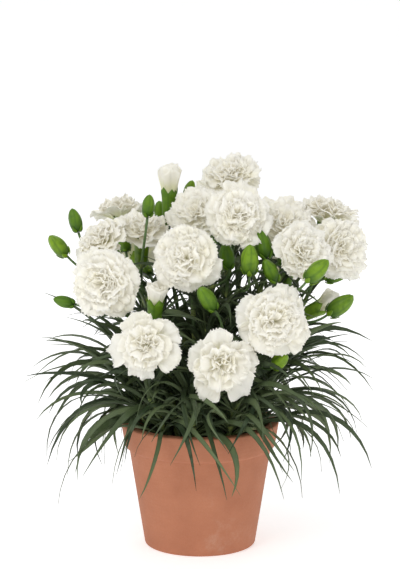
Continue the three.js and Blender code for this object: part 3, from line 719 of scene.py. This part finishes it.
def grow_shoot(shoot):
    points = [root_point(shoot["root"])]
    for i in range(1, SHOOT_STEPS + 1):
        tilt = radians(shoot["lean"] * i / SHOOT_STEPS)
        way = round_pot(shoot["root"][0], sin(tilt), cos(tilt))
        points.append(points[-1] + way * shoot["height"] / SHOOT_STEPS)
    line = through(points)
    occupy(shoot["name"], line.points(ceil(shoot["height"] / BALL_SPACING)), STEM_RADIUS)
    return line


seed = 2024
SEED_STEP, SEED_RANGE = 16807, 2147483647


def chance(low, high):
    global seed
    seed = seed * SEED_STEP % SEED_RANGE
    return low + (high - low) * seed / SEED_RANGE


LEAF_TRIES = 9
LEAF_POINTS = 24
DROOP_DELAY = 1.3  # above 1, a leaf bends more towards its tip
TURN_STRAY, RISE_STRAY, SWEEP = 16, 8, 35  # degrees
DROOP_SPREAD = (0.8, 1.2)


def leaf_line(start, azimuth, rise, droop, sweep, length):
    """A leaf's middle line: it leaves the stem at `rise` above level and bends down by `droop`."""
    t = (np.arange(1, LEAF_POINTS + 1) - 0.5) / LEAF_POINTS
    angle = np.radians(azimuth + sweep * t * t)
    slope = np.radians(rise - droop * t**DROOP_DELAY)
    ways = np.stack([np.cos(slope) * np.cos(angle), np.cos(slope) * np.sin(angle), np.sin(slope)], axis=1)
    first = start + round_pot(azimuth, STEM_RADIUS / 2, 0)
    return np.vstack([first, first + np.cumsum(ways, axis=0) * length / LEAF_POINTS])


def grow_leaf(owner, leaf, reach=LEAF_WIDTH / 2, room=LEAF_ROOM, tries=LEAF_TRIES):
    best = np.empty((0, 3))
    for i in range(tries):
        wander = 1 + i / 3
        azimuth = leaf["azimuth"] + wander * chance(-TURN_STRAY, TURN_STRAY)
        rise = leaf["rise"] + wander * chance(-RISE_STRAY, RISE_STRAY)
        droop = leaf["droop"] * chance(*DROOP_SPREAD)
        line = leaf_line(leaf["start"], azimuth, rise, droop, chance(-SWEEP, SWEEP), leaf["length"])
        clear = clear_points(owner, line, reach, room)
        if clear > len(best):
            best = line[:clear]
        if clear == len(line):
            break
    if leaf["length"] * (len(best) - 1) / LEAF_POINTS < SHORTEST_LEAF:
        return []
    occupy(owner, best, reach)
    return [dict(line=best, side=round_pot(leaf["azimuth"] + 90, 1, 0))]


def leaf_pair(owner, leaf, **limits):
    one = grow_leaf(owner, leaf, **limits)
    return one + grow_leaf(owner, dict(leaf, azimuth=leaf["azimuth"] + 180), **limits)


STEM_LEAF_TURN, STEM_LEAF_RISE, STEM_LEAF_MORE_RISE, STEM_LEAF_DROOP = 40, 58, 14, 70
STEM_LEAF_SHORTENING = 0.6


def stem_leaves(stem, places, first_angle, longest, **limits):
    leaves = []
    for i, place in enumerate(places):
        leaf = dict(
            start=stem["heads"][0]["line"].point(place),
            azimuth=stem["root"][0] + first_angle + 90 * i,
            length=longest * (1 - STEM_LEAF_SHORTENING * (place - STEM_LEAF_PLACES[0])),
            rise=STEM_LEAF_RISE + STEM_LEAF_MORE_RISE * place,
            droop=STEM_LEAF_DROOP,
        )
        leaves += leaf_pair(stem["name"], leaf, **limits)
    return leaves


SHOOT_TOP = 0.97  # where the youngest pair is, as a share of the shoot's length
SHOOT_LEAF_TURN, SHOOT_LEAF_RISE, SHOOT_LEAF_LESS_RISE = 45, 75, 50
SHOOT_LEAF_DROOP, SHOOT_LEAF_MORE_DROOP = 60, 45
YOUNGEST_LEAF, OLDER_LEAF, LEAF_LENGTH_STRAY = 0.78, 0.22, 0.08


def shoot_leaves(shoot, first_angle, longest, offset=0.0, more_droop=0.0, **limits):
    leaves = []
    for i in range(SHOOT_PAIRS):
        age = (i + offset) / SHOOT_PAIRS
        stray = chance(-LEAF_LENGTH_STRAY, LEAF_LENGTH_STRAY)
        length = longest * (YOUNGEST_LEAF + OLDER_LEAF * age + stray)
        leaf = dict(
            start=shoot["line"].point(SHOOT_TOP * (1 - age)),
            azimuth=shoot["root"][0] + first_angle + 90 * i,
            length=length,
            rise=SHOOT_LEAF_RISE - SHOOT_LEAF_LESS_RISE * age,
            droop=SHOOT_LEAF_DROOP + SHOOT_LEAF_MORE_DROOP * age + more_droop,
        )
        leaves += leaf_pair(shoot["name"], leaf, **limits)
    return leaves


for stem in STEMS:
    for i, head in enumerate(stem["heads"]):
        lay_out(head)
        occupy_head(stem, i, head)
for stem in STEMS:
    for head in stem["heads"]:
        head["line"] = grow_head_stem(stem, head)
for i, shoot in enumerate(SHOOTS):
    shoot["name"] = f"shoot_{i + 1:02d}"
    shoot["line"] = grow_shoot(shoot)
for stem in STEMS:
    stem["leaves"] = stem_leaves(stem, STEM_LEAF_PLACES, STEM_LEAF_TURN, LONGEST_STEM_LEAF)
for shoot in SHOOTS:
    shoot["leaves"] = shoot_leaves(shoot, SHOOT_LEAF_TURN, LONGEST_SHOOT_LEAF)

# Finer leaves between those, on the same shoots. They are too many to be solids, and they may lie
# close against their neighbours.
FINE = dict(reach=0.0005, room=0, tries=3)
FINE_DROOP = 25
FINE_STEM_TURN, FINE_STEM_SHARE = 85, 0.9
FINE_STEM_PLACES = (0.1, 0.31, 0.53, 0.75)
# Rounds of them: first angle, how far between the pairs, and length as a share of the longest.
FINE_SHOOT_LEAVES = ((0, 0.5, 0.98), (45, 0.25, 0.86), (20, 0.75, 0.95), (65, 0.1, 1.0))
for stem in STEMS:
    longest = FINE_STEM_SHARE * LONGEST_STEM_LEAF
    stem["leaves"] += stem_leaves(stem, FINE_STEM_PLACES, FINE_STEM_TURN, longest, **FINE)
for first_angle, offset, share in FINE_SHOOT_LEAVES:
    for shoot in SHOOTS:
        longest = share * LONGEST_SHOOT_LEAF
        shoot["leaves"] += shoot_leaves(shoot, first_angle, longest, offset, FINE_DROOP, **FINE)

# ---- Stems and leafy shoots -------------------------------------
# Living stems with a waxy bloom, swollen where each pair of leaves clasps them. The leaves are
# narrow, channelled and grey-green, and arch over as they age. Buds and calyces are tight green
# tubes of five fused sepals, with small scales at the foot.


def soft_step(x):
    x = min(max(x, 0), 1)
    return x * x * (3 - 2 * x)


def tone_parts(finish):
    """What a skin's `tone` holds: how far along it is, how far round, and the piece's own chance."""
    parts = finish.add("ShaderNodeSeparateColor")
    tone = finish.add("ShaderNodeAttribute", attribute_name="tone")
    finish.link(tone.outputs["Color"], parts.inputs["Color"])
    return parts.outputs["Red"], parts.outputs["Green"], parts.outputs["Blue"]


def veins(finish, across, along=None, **settings):
    """Fine lines that run along a leaf or petal, at even steps across it."""
    place = finish.add("ShaderNodeCombineXYZ")
    finish.link(across, place.inputs["X"])
    if along:
        finish.link(along, place.inputs["Y"])
    return finish.pattern("Wave", place.outputs["Vector"], bands_direction="X", **settings)


leaf_skin = Finish("leaf_skin")
along, around, own = tone_parts(leaf_skin)
blotches = leaf_skin.pattern("Noise", Scale=90.0, Detail=4.0)
leaf_colour = leaf_skin.blend(own, (0.016, 0.033, 0.011), (0.125, 0.168, 0.074))
waxy = leaf_skin.ranged(blotches, 0.42, 0.7, 0, 0.5)
leaf_colour = leaf_skin.blend(waxy, leaf_colour, (0.110, 0.148, 0.085))
pale_foot = leaf_skin.ranged(along, 0.02, 0.22, 0.75, 0)
leaf_colour = leaf_skin.blend(pale_foot, leaf_colour, (0.24, 0.33, 0.12))
dry_tip = leaf_skin.ranged(along, 0.95, 1.0, 0, 0.6)
leaf_skin.join(
    Base_Color=leaf_skin.blend(dry_tip, leaf_colour, (0.30, 0.24, 0.12)),
    Roughness=leaf_skin.ranged(blotches, 0.3, 0.7, 0.42, 0.62),
    Normal=leaf_skin.bump(veins(leaf_skin, around, Scale=14.0, Distortion=0.4), 0.15, 0.0003),
)
leaf_skin.settle(Specular_IOR_Level=0.28)

stem_skin = Finish("stem_skin")
along, at_node, own = tone_parts(stem_skin)
streaks = stem_skin.pattern("Noise", Scale=160.0, Detail=3.0)
stem_colour = stem_skin.blend(streaks, (0.055, 0.115, 0.030), (0.130, 0.210, 0.070))
stem_skin.join(
    Base_Color=stem_skin.blend(at_node, stem_colour, (0.330, 0.390, 0.110)),
    Roughness=stem_skin.ranged(streaks, 0.3, 0.7, 0.45, 0.65),
    Normal=stem_skin.bump(streaks, 0.2, 0.0002),
)

SEPALS = 5
sepal_skin = Finish("sepal_skin")
along, around, own = tone_parts(sepal_skin)
flecks = sepal_skin.pattern("Noise", Scale=210.0, Detail=5.0)
sepal_colour = sepal_skin.blend(own, (0.085, 0.190, 0.006), (0.205, 0.350, 0.012))
dusk = sepal_skin.ranged(flecks, 0.4, 0.75, 0, 0.55)
sepal_colour = sepal_skin.blend(dusk, sepal_colour, (0.040, 0.110, 0.010))
# Painted shade: the sepals darken towards the foot, so that the foot looks like the unlit side and the
# upper part like the lit side.
shade_painted_at_foot = sepal_skin.ranged(along, 0.0, 0.6, 0.9, 0)
sepal_colour = sepal_skin.blend(shade_painted_at_foot, sepal_colour, (0.028, 0.085, 0.008))
ribs = sepal_skin.add("ShaderNodeMath", operation="MULTIPLY")
sepal_skin.link(around, ribs.inputs[0])
ribs.inputs[1].default_value = 2 * pi * SEPALS
seams = sepal_skin.add("ShaderNodeMath", operation="COSINE")
sepal_skin.link(ribs.outputs["Value"], seams.inputs[0])
seam_share = sepal_skin.ranged(seams.outputs["Value"], 0.45, 1.0, 0, 0.38)
sepal_skin.join(
    Base_Color=sepal_skin.blend(seam_share, sepal_colour, (0.040, 0.105, 0.012)),
    Roughness=sepal_skin.ranged(flecks, 0.3, 0.7, 0.34, 0.52),
    Normal=sepal_skin.bump(flecks, 0.15, 0.0003),
)
sepal_skin.settle(Specular_IOR_Level=0.3)

STEM_SLOT, LEAF_SLOT, SEPAL_SLOT = 0, 1, 2
GREENERY = [stem_skin, leaf_skin, sepal_skin]


def wrap_line(bm, middles, side, around, offset, material, tone):
    """A closed skin round a line. offset(angle, t) says how far it stands out, across and up."""
    last = len(middles) - 1
    frames = []
    for i, middle in enumerate(middles):
        way = (middles[min(i + 1, last)] - middles[max(i - 1, 0)]).normalized()
        across = (side - way * way.dot(side)).normalized()
        frames.append((middle, across, way.cross(across)))

    def place(u, v):
        row = round(v * (last + 2))
        middle, across, up = frames[min(max(row - 1, 0), last)]
        if row in (0, last + 2):
            return middle
        x, y = offset(2 * pi * u, (row - 1) / last)
        return middle + across * x + up * y

    wrap(bm, around, last + 2, place, material, tone)


STEM_SIDES = 8
STEM_STEP = 0.004
NODE_SWELL = 0.4
NODE_REACH = 0.0022
STEM_FOOT, STEM_TAPER = 1.05, 0.2


def add_stem(bm, line, radius, nodes):
    steps = max(8, ceil(line.length / STEM_STEP))
    middles = [Vector(point) for point in line.points(steps)]

    def nearness(t):
        gaps = [(t - node) * line.length / NODE_REACH for node in nodes]
        return max([exp(-gap * gap) for gap in gaps], default=0)

    def offset(angle, t):
        out = radius * (STEM_FOOT - STEM_TAPER * t) * (1 + NODE_SWELL * nearness(t))
        return out * cos(angle), out * sin(angle)

    def tone(u, v):
        return v, nearness(v), 0.5

    wrap_line(bm, middles, Vector((1, 0, 0)), STEM_SIDES, offset, STEM_SLOT, tone)


LEAF_SIDES = 6
LEAF_CHANNEL = 0.30
LEAF_BODY = 0.00035
LEAF_TWIST = radians(85)
LEAF_CURL = 0.050
CURL_FROM = 0.4
SIDE_CURL = 1.9
DOWN_CURL = (-1.0, 1.5)
LEAF_WIDTH_SPREAD = (0.85, 1.2)
FEWEST_LEAF_ROWS = 4

in_petals = np.array([owner.startswith("petals") for owner in ball_owners])
petal_points, petal_radii = ball_points[in_petals], ball_radii[in_petals]


def clear_of_petals(middle):
    gaps = np.linalg.norm(petal_points - np.array(middle), axis=1)
    return bool((gaps > petal_radii + LEAF_WIDTH / 2).all())


def add_leaf(bm, leaf, dice):
    middles = [Vector(point) for point in leaf["line"][::2]]
    twist, own = dice.uniform(-LEAF_TWIST, LEAF_TWIST), dice.random()
    half = LEAF_WIDTH / 2 * dice.uniform(*LEAF_WIDTH_SPREAD)
    sideways, down = dice.uniform(-SIDE_CURL, SIDE_CURL), dice.uniform(*DOWN_CURL)
    curl = Vector(leaf["side"]) * sideways - Vector((0, 0, down))
    for strength in (1, 0.5, 0):  # a bend that would meet the pot is halved, then left out
        bent = [
            middle + strength * curl * LEAF_CURL * max(i / len(middles) - CURL_FROM, 0) ** 2
            for i, middle in enumerate(middles)
        ]
        if not meets_pot(np.array(bent), LEAF_WIDTH / 4).any():
            break
    middles = bent
    clear = [clear_of_petals(middle) for middle in middles]
    if not all(clear):
        middles = middles[: max(clear.index(False), FEWEST_LEAF_ROWS)]

    def offset(angle, t):
        # A little narrower at the foot, full along the middle, and drawn out to a fine tip.
        width = half * (0.8 + 0.2 * soft_step(t / 0.3)) * (1 - soft_step((t - 0.55) / 0.47)) ** 0.6
        x = width * cos(angle)
        y = LEAF_BODY * (1 - 0.6 * t) * sin(angle) + LEAF_CHANNEL * width * cos(angle) ** 2
        turn = twist * sqrt(t)
        return x * cos(turn) - y * sin(turn), x * sin(turn) + y * cos(turn)

    wrap_line(bm, middles, Vector(leaf["side"]), LEAF_SIDES, offset, LEAF_SLOT, lambda u, v: (v, u, own))


def axis_frame(way):
    """Two directions square to a head's own, and to each other."""
    way = Vector(way)
    side = way.orthogonal().normalized()
    return way, side, way.cross(side)


BRACTS = 4
BRACT_STEPS = 6
BRACT_HALF_WIDTH = 0.0026
BRACT_BODY = 0.0004


def spun(side, other, angle):
    """The two directions, turned round the head's own."""
    out = side * cos(angle) + other * sin(angle)
    return out, other * cos(angle) - side * sin(angle)


def add_bracts(bm, head, reach, profile, own):
    """Small pointed scales that hug the foot of a calyx or bud."""
    way, side, other = axis_frame(head["way"])
    for i in range(BRACTS):
        angle = 2 * pi * i / BRACTS + own
        out, across = spun(side, other, angle)
        shares = [reach * k / BRACT_STEPS for k in range(BRACT_STEPS + 1)]
        middles = [
            Vector(head["foot"]) + way * head["length"] * share + out * (profile(share + 0.02) + BRACT_BODY)
            for share in shares
        ]

        def offset(turn, t):
            width = BRACT_HALF_WIDTH * (1 - t) ** 0.6 * (0.6 + 0.4 * soft_step(t / 0.3))
            return width * cos(turn), BRACT_BODY * sin(turn) + 0.25 * width * cos(turn) ** 2

        wrap_line(bm, middles, across, 6, offset, SEPAL_SLOT, lambda u, v: (0.5 + 0.4 * v, 0.5, own))


CALYX_ROWS = [
    (0, 0), (0, 0.30), (0.03, 0.55), (0.10, 0.76), (0.25, 0.84), (0.50, 0.88), (0.75, 0.94), (0.90, 1.00),
    (1.00, 1.08), (1.00, 0.98), (0.88, 0.90), (0.70, 0.84), (0.70, 0),
]
TEETH_FROM, TEETH_TO = 8, 9
TOOTH_SHARE = 0.17
CALYX_FULLNESS, CALYX_RIBS = 1.06, 0.03
CALYX_BRACT_REACH, BUD_BRACT_REACH = 0.34, 0.26


def add_calyx(bm, head, dice):
    way, side, other = axis_frame(head["way"])
    foot, length, radius, own = Vector(head["foot"]), head["length"], head["radius"], dice.random()

    def place(u, v):
        row = round(v * (len(CALYX_ROWS) - 1))
        share, out = CALYX_ROWS[row]
        angle = 2 * pi * u
        if TEETH_FROM <= row <= TEETH_TO:
            share += TOOTH_SHARE * (1 - abs(2 * (SEPALS * u % 1) - 1))
        out *= radius * (CALYX_FULLNESS + CALYX_RIBS * cos(SEPALS * angle))
        return foot + way * length * share + spun(side, other, angle)[0] * out

    wrap(bm, 6 * SEPALS, len(CALYX_ROWS) - 1, place, SEPAL_SLOT, lambda u, v: (v, u, own))
    add_bracts(bm, head, CALYX_BRACT_REACH, lambda share: radius * (0.52 + min(share, 0.28)), own)


BUD_ROWS = 14
BUD_FULLEST = 0.80  # below 1, the fullest part is nearer the foot
BUD_GROOVES = 0.08
BUD_TWIST = 0.5


def add_bud(bm, head, dice):
    way, side, other = axis_frame(head["way"])
    foot, length, radius, own = Vector(head["foot"]), head["length"], head["radius"], dice.random()

    def profile(v):
        return radius * sin(pi * min(v, 1) ** BUD_FULLEST) ** (0.45 + 0.10 * v)

    def place(u, v):
        if v in (0, 1):
            return foot + way * length * v
        angle = 2 * pi * u
        out = profile(v) * (1 - BUD_GROOVES * soft_step(2 * v - 0.4) * cos(SEPALS * angle))
        turned = angle + BUD_TWIST * v
        return foot + way * length * v + spun(side, other, turned)[0] * out

    wrap(bm, 4 * SEPALS, BUD_ROWS, place, SEPAL_SLOT, lambda u, v: (v, u, own))
    add_bracts(bm, head, BUD_BRACT_REACH, profile, own)


for number, stem in enumerate(STEMS):
    dice = random.Random(300 + number)
    stem_bm = bmesh.new()
    main = stem["heads"][0]
    add_stem(stem_bm, main["line"], STEM_RADIUS, STEM_LEAF_PLACES + FINE_STEM_PLACES)
    for twig in stem["heads"][1:]:
        add_stem(stem_bm, twig["line"], TWIG_RADIUS, [0, 0.5])
    for leaf in stem["leaves"]:
        add_leaf(stem_bm, leaf, dice)
    for head in stem["heads"]:
        (add_bud if head["kind"] == "bud" else add_calyx)(stem_bm, head, dice)
    bmesh.ops.recalc_face_normals(stem_bm, faces=stem_bm.faces)
    node = "stem_" + stem["name"]
    finish_piece("flowering_" + node, stem_bm, GREENERY, [node])

for number, shoot in enumerate(SHOOTS):
    dice = random.Random(500 + number)
    shoot_bm = bmesh.new()
    nodes = [SHOOT_TOP * (1 - i / SHOOT_PAIRS) for i in range(SHOOT_PAIRS)]
    add_stem(shoot_bm, shoot["line"], STEM_RADIUS, nodes)
    for leaf in shoot["leaves"]:
        add_leaf(shoot_bm, leaf, dice)
    bmesh.ops.recalc_face_normals(shoot_bm, faces=shoot_bm.faces)
    finish_piece("leafy_" + shoot["name"], shoot_bm, GREENERY, [shoot["name"]])

# ---- Petals -----------------------------------------------------
# Each double flower is some forty thin petals in whorls. A petal has a narrow claw, held in the
# calyx, and a broad ruffled blade with a toothed edge. Outer ones lie flat, inner ones stand.

petal_skin = Finish("petal_skin")
along, across, own = tone_parts(petal_skin)
tint = petal_skin.pattern("Noise", Scale=60.0, Detail=3.0)
petal_colour = petal_skin.blend(own, (0.870, 0.845, 0.745), (0.900, 0.880, 0.802))
creamy = petal_skin.ranged(tint, 0.45, 0.75, 0, 0.5)
petal_colour = petal_skin.blend(creamy, petal_colour, (0.870, 0.832, 0.665))
claw_share = petal_skin.ranged(along, 0.2, 0.75, 0.9, 0)
petal_veins = veins(petal_skin, across, along, Scale=9.0, Distortion=1.5, Detail=2.0)
petal_skin.join(
    Base_Color=petal_skin.blend(claw_share, petal_colour, (0.700, 0.720, 0.400)),
    Normal=petal_skin.bump(petal_veins, 0.25, 0.0004),
)
petal_skin.settle(
    Roughness=0.6,
    Specular_IOR_Level=0.25,
    Subsurface_Weight=0.65,
    Subsurface_Radius=(1.0, 1.0, 1.0),
    Subsurface_Scale=0.001,
)
# A faint warm glow, in place of the light that comes through a thin petal.
petal_skin.settle(Emission_Color=(1.0, 0.92, 0.70, 1), Emission_Strength=0.055)

PETAL_ROWS = 9
PETAL_COLUMNS = 24
PETAL_THICKNESS = 0.00025
CLAW_SUNK = 0.004
MARGIN_ROUNDING = 0.21
LENGTH_SPREAD, WIDTH_SPREAD, RUFFLE_SPREAD = (0.82, 1.05), (0.85, 1.12), (0.8, 1.25)
WAVES = (4.8, 8.6)
FALL_STRAY, CUP_STRAY, TWIST_STRAY, WHORL_STRAY, PETAL_STRAY = 12, 0.08, 0.14, 0.2, 0.22
CLAW_SHARE, HALF_OPEN_CLAW_SHARE = 0.14, 0.55
TOOTH_DEPTH, TOOTH_VARIES, TOOTH_STRAY = 0.014, 0.011, 0.018

# A whorl: petals, their angle above flat at the claw and at the tip, how late they bend, length, half
# width, ruffle, cup, and how far from the axis the claws stand.
FULL_WHORLS = [
    (6, 72, -26, 0.8, 0.0282, 0.0132, 0.0019, 0.02, 0.0036),
    (7, 78, -16, 1.0, 0.0280, 0.0124, 0.0019, 0.05, 0.0032),
    (7, 82, -6, 1.2, 0.0276, 0.0117, 0.0020, 0.08, 0.0028),
    (7, 86, 4, 1.5, 0.0270, 0.0110, 0.0021, 0.12, 0.0024),
    (6, 88, 14, 1.8, 0.0262, 0.0102, 0.0021, 0.16, 0.0018),
    (6, 91, 26, 2.0, 0.0252, 0.0094, 0.0020, 0.20, 0.0014),
    (5, 94, 42, 2.2, 0.0242, 0.0084, 0.0018, 0.25, 0.0010),
]
LOOSE_WHORLS = [
    (5, 68, -25, 0.8, 0.0295, 0.0122, 0.0018, 0.00, 0.0036),
    (5, 76, -10, 1.0, 0.0255, 0.0110, 0.0022, 0.05, 0.0030),
    (5, 82, 5, 1.3, 0.0250, 0.0100, 0.0026, 0.10, 0.0024),
    (4, 86, 25, 1.6, 0.0220, 0.0085, 0.0024, 0.15, 0.0018),
    (4, 90, 45, 1.8, 0.0190, 0.0066, 0.0020, 0.20, 0.0014),
    (3, 92, 65, 2.0, 0.0165, 0.0050, 0.0016, 0.25, 0.0010),
]
HALF_OPEN_WHORLS = [
    (5, 76, 86, 0.6, 0.0245, 0.0088, 0.0005, 0.55, 0.0042),
    (4, 80, 88, 0.6, 0.0255, 0.0076, 0.0006, 0.60, 0.0032),
    (3, 84, 90, 0.6, 0.0250, 0.0060, 0.0006, 0.65, 0.0020),
]
LOOSE_BLOOMS = ("front_centre", "front_left")


def add_petal(bm, head, azimuth, whorl, dice):
    """One petal: a fan on a bent middle line, cupped and ruffled, its last row cut into teeth."""
    _, rise, fall, late, length, half_width, ruffle, cup, neck = whorl
    size = head["size"]
    way, side, other = axis_frame(head["way"])
    out, across = spun(side, other, azimuth)
    length *= size * dice.uniform(*LENGTH_SPREAD)
    half_width *= size * dice.uniform(*WIDTH_SPREAD)
    fall += dice.uniform(-FALL_STRAY, FALL_STRAY) * (0.2 if head["kind"] == "half_open" else 1)
    ruffle *= size * dice.uniform(*RUFFLE_SPREAD)
    cup += dice.uniform(-CUP_STRAY, CUP_STRAY)
    twist = dice.uniform(-TWIST_STRAY, TWIST_STRAY)
    waves, phase, second = dice.uniform(*WAVES), dice.uniform(0, 6.28), dice.uniform(0, 6.28)
    own = dice.random()
    claw = HALF_OPEN_CLAW_SHARE if head["kind"] == "half_open" else CLAW_SHARE

    middles = [Vector(head["mouth"]) - way * CLAW_SUNK + out * neck]
    lifts = []
    for i in range(PETAL_ROWS + 1):
        slope = radians(rise + (fall - rise) * (i / PETAL_ROWS) ** late)
        middles.append(middles[-1] + (way * sin(slope) + out * cos(slope)) * length / PETAL_ROWS)
        lifts.append(way * cos(slope) - out * sin(slope))
    lifts.append(lifts[-1])

    def place(u, v):
        s = 2 * (u - 0.5)
        fan = claw + (1 - claw) * soft_step((v - 0.08) / 0.80)
        reach = v * (1 - MARGIN_ROUNDING * s * s * v)
        frill = ruffle * v**2.2
        if v > 0.99:
            deep = TOOTH_DEPTH + TOOTH_VARIES * sin(waves * s + second)
            tooth = deep * (-1) ** round((s + 1) / 2 * PETAL_COLUMNS)
            reach += tooth + dice.uniform(-TOOTH_STRAY, TOOTH_STRAY)
        row = min(max(reach, 0), 1.05) * PETAL_ROWS
        i = min(int(row), PETAL_ROWS)
        middle = middles[i].lerp(middles[i + 1], row - i)
        wave = sin(waves * s + phase) + 0.4 * sin(1.9 * waves * s + second)
        sway = twist * v * v * length
        return (
            middle
            + across * (s * fan * half_width + sway + 0.35 * frill * sin(waves * s + second))
            + lifts[i] * (cup * s * s * fan * half_width + frill * wave)
        )

    lay_grid(bm, PETAL_COLUMNS, PETAL_ROWS, place, lambda u, v: (v, u, own))


def add_whorls(bm, head, whorls, dice):
    start = dice.uniform(0, 2 * pi)
    for whorl in whorls:
        count = whorl[0]
        start += pi / count + dice.uniform(-WHORL_STRAY, WHORL_STRAY)
        for i in range(count):
            azimuth = start + 2 * pi * i / count + dice.uniform(-PETAL_STRAY, PETAL_STRAY)
            add_petal(bm, head, azimuth, whorl, dice)


for number, stem in enumerate(STEMS):
    for i, head in enumerate(stem["heads"]):
        if head["kind"] == "bud":
            continue
        dice = random.Random(700 + 10 * number + i)
        node = f"{head['kind']}_{stem['name']}" + ("_side" if i else "")
        whorls = LOOSE_WHORLS if stem["name"] in LOOSE_BLOOMS else FULL_WHORLS
        if head["kind"] == "half_open":
            whorls = HALF_OPEN_WHORLS
        petal_bm = bmesh.new()
        add_whorls(petal_bm, head, whorls, dice)
        petals = finish_piece("petals_" + node, petal_bm, [petal_skin], [node])
        thick = petals.modifiers.new("petal_thickness", "SOLIDIFY")
        thick.thickness = PETAL_THICKNESS
        thick.offset = 0
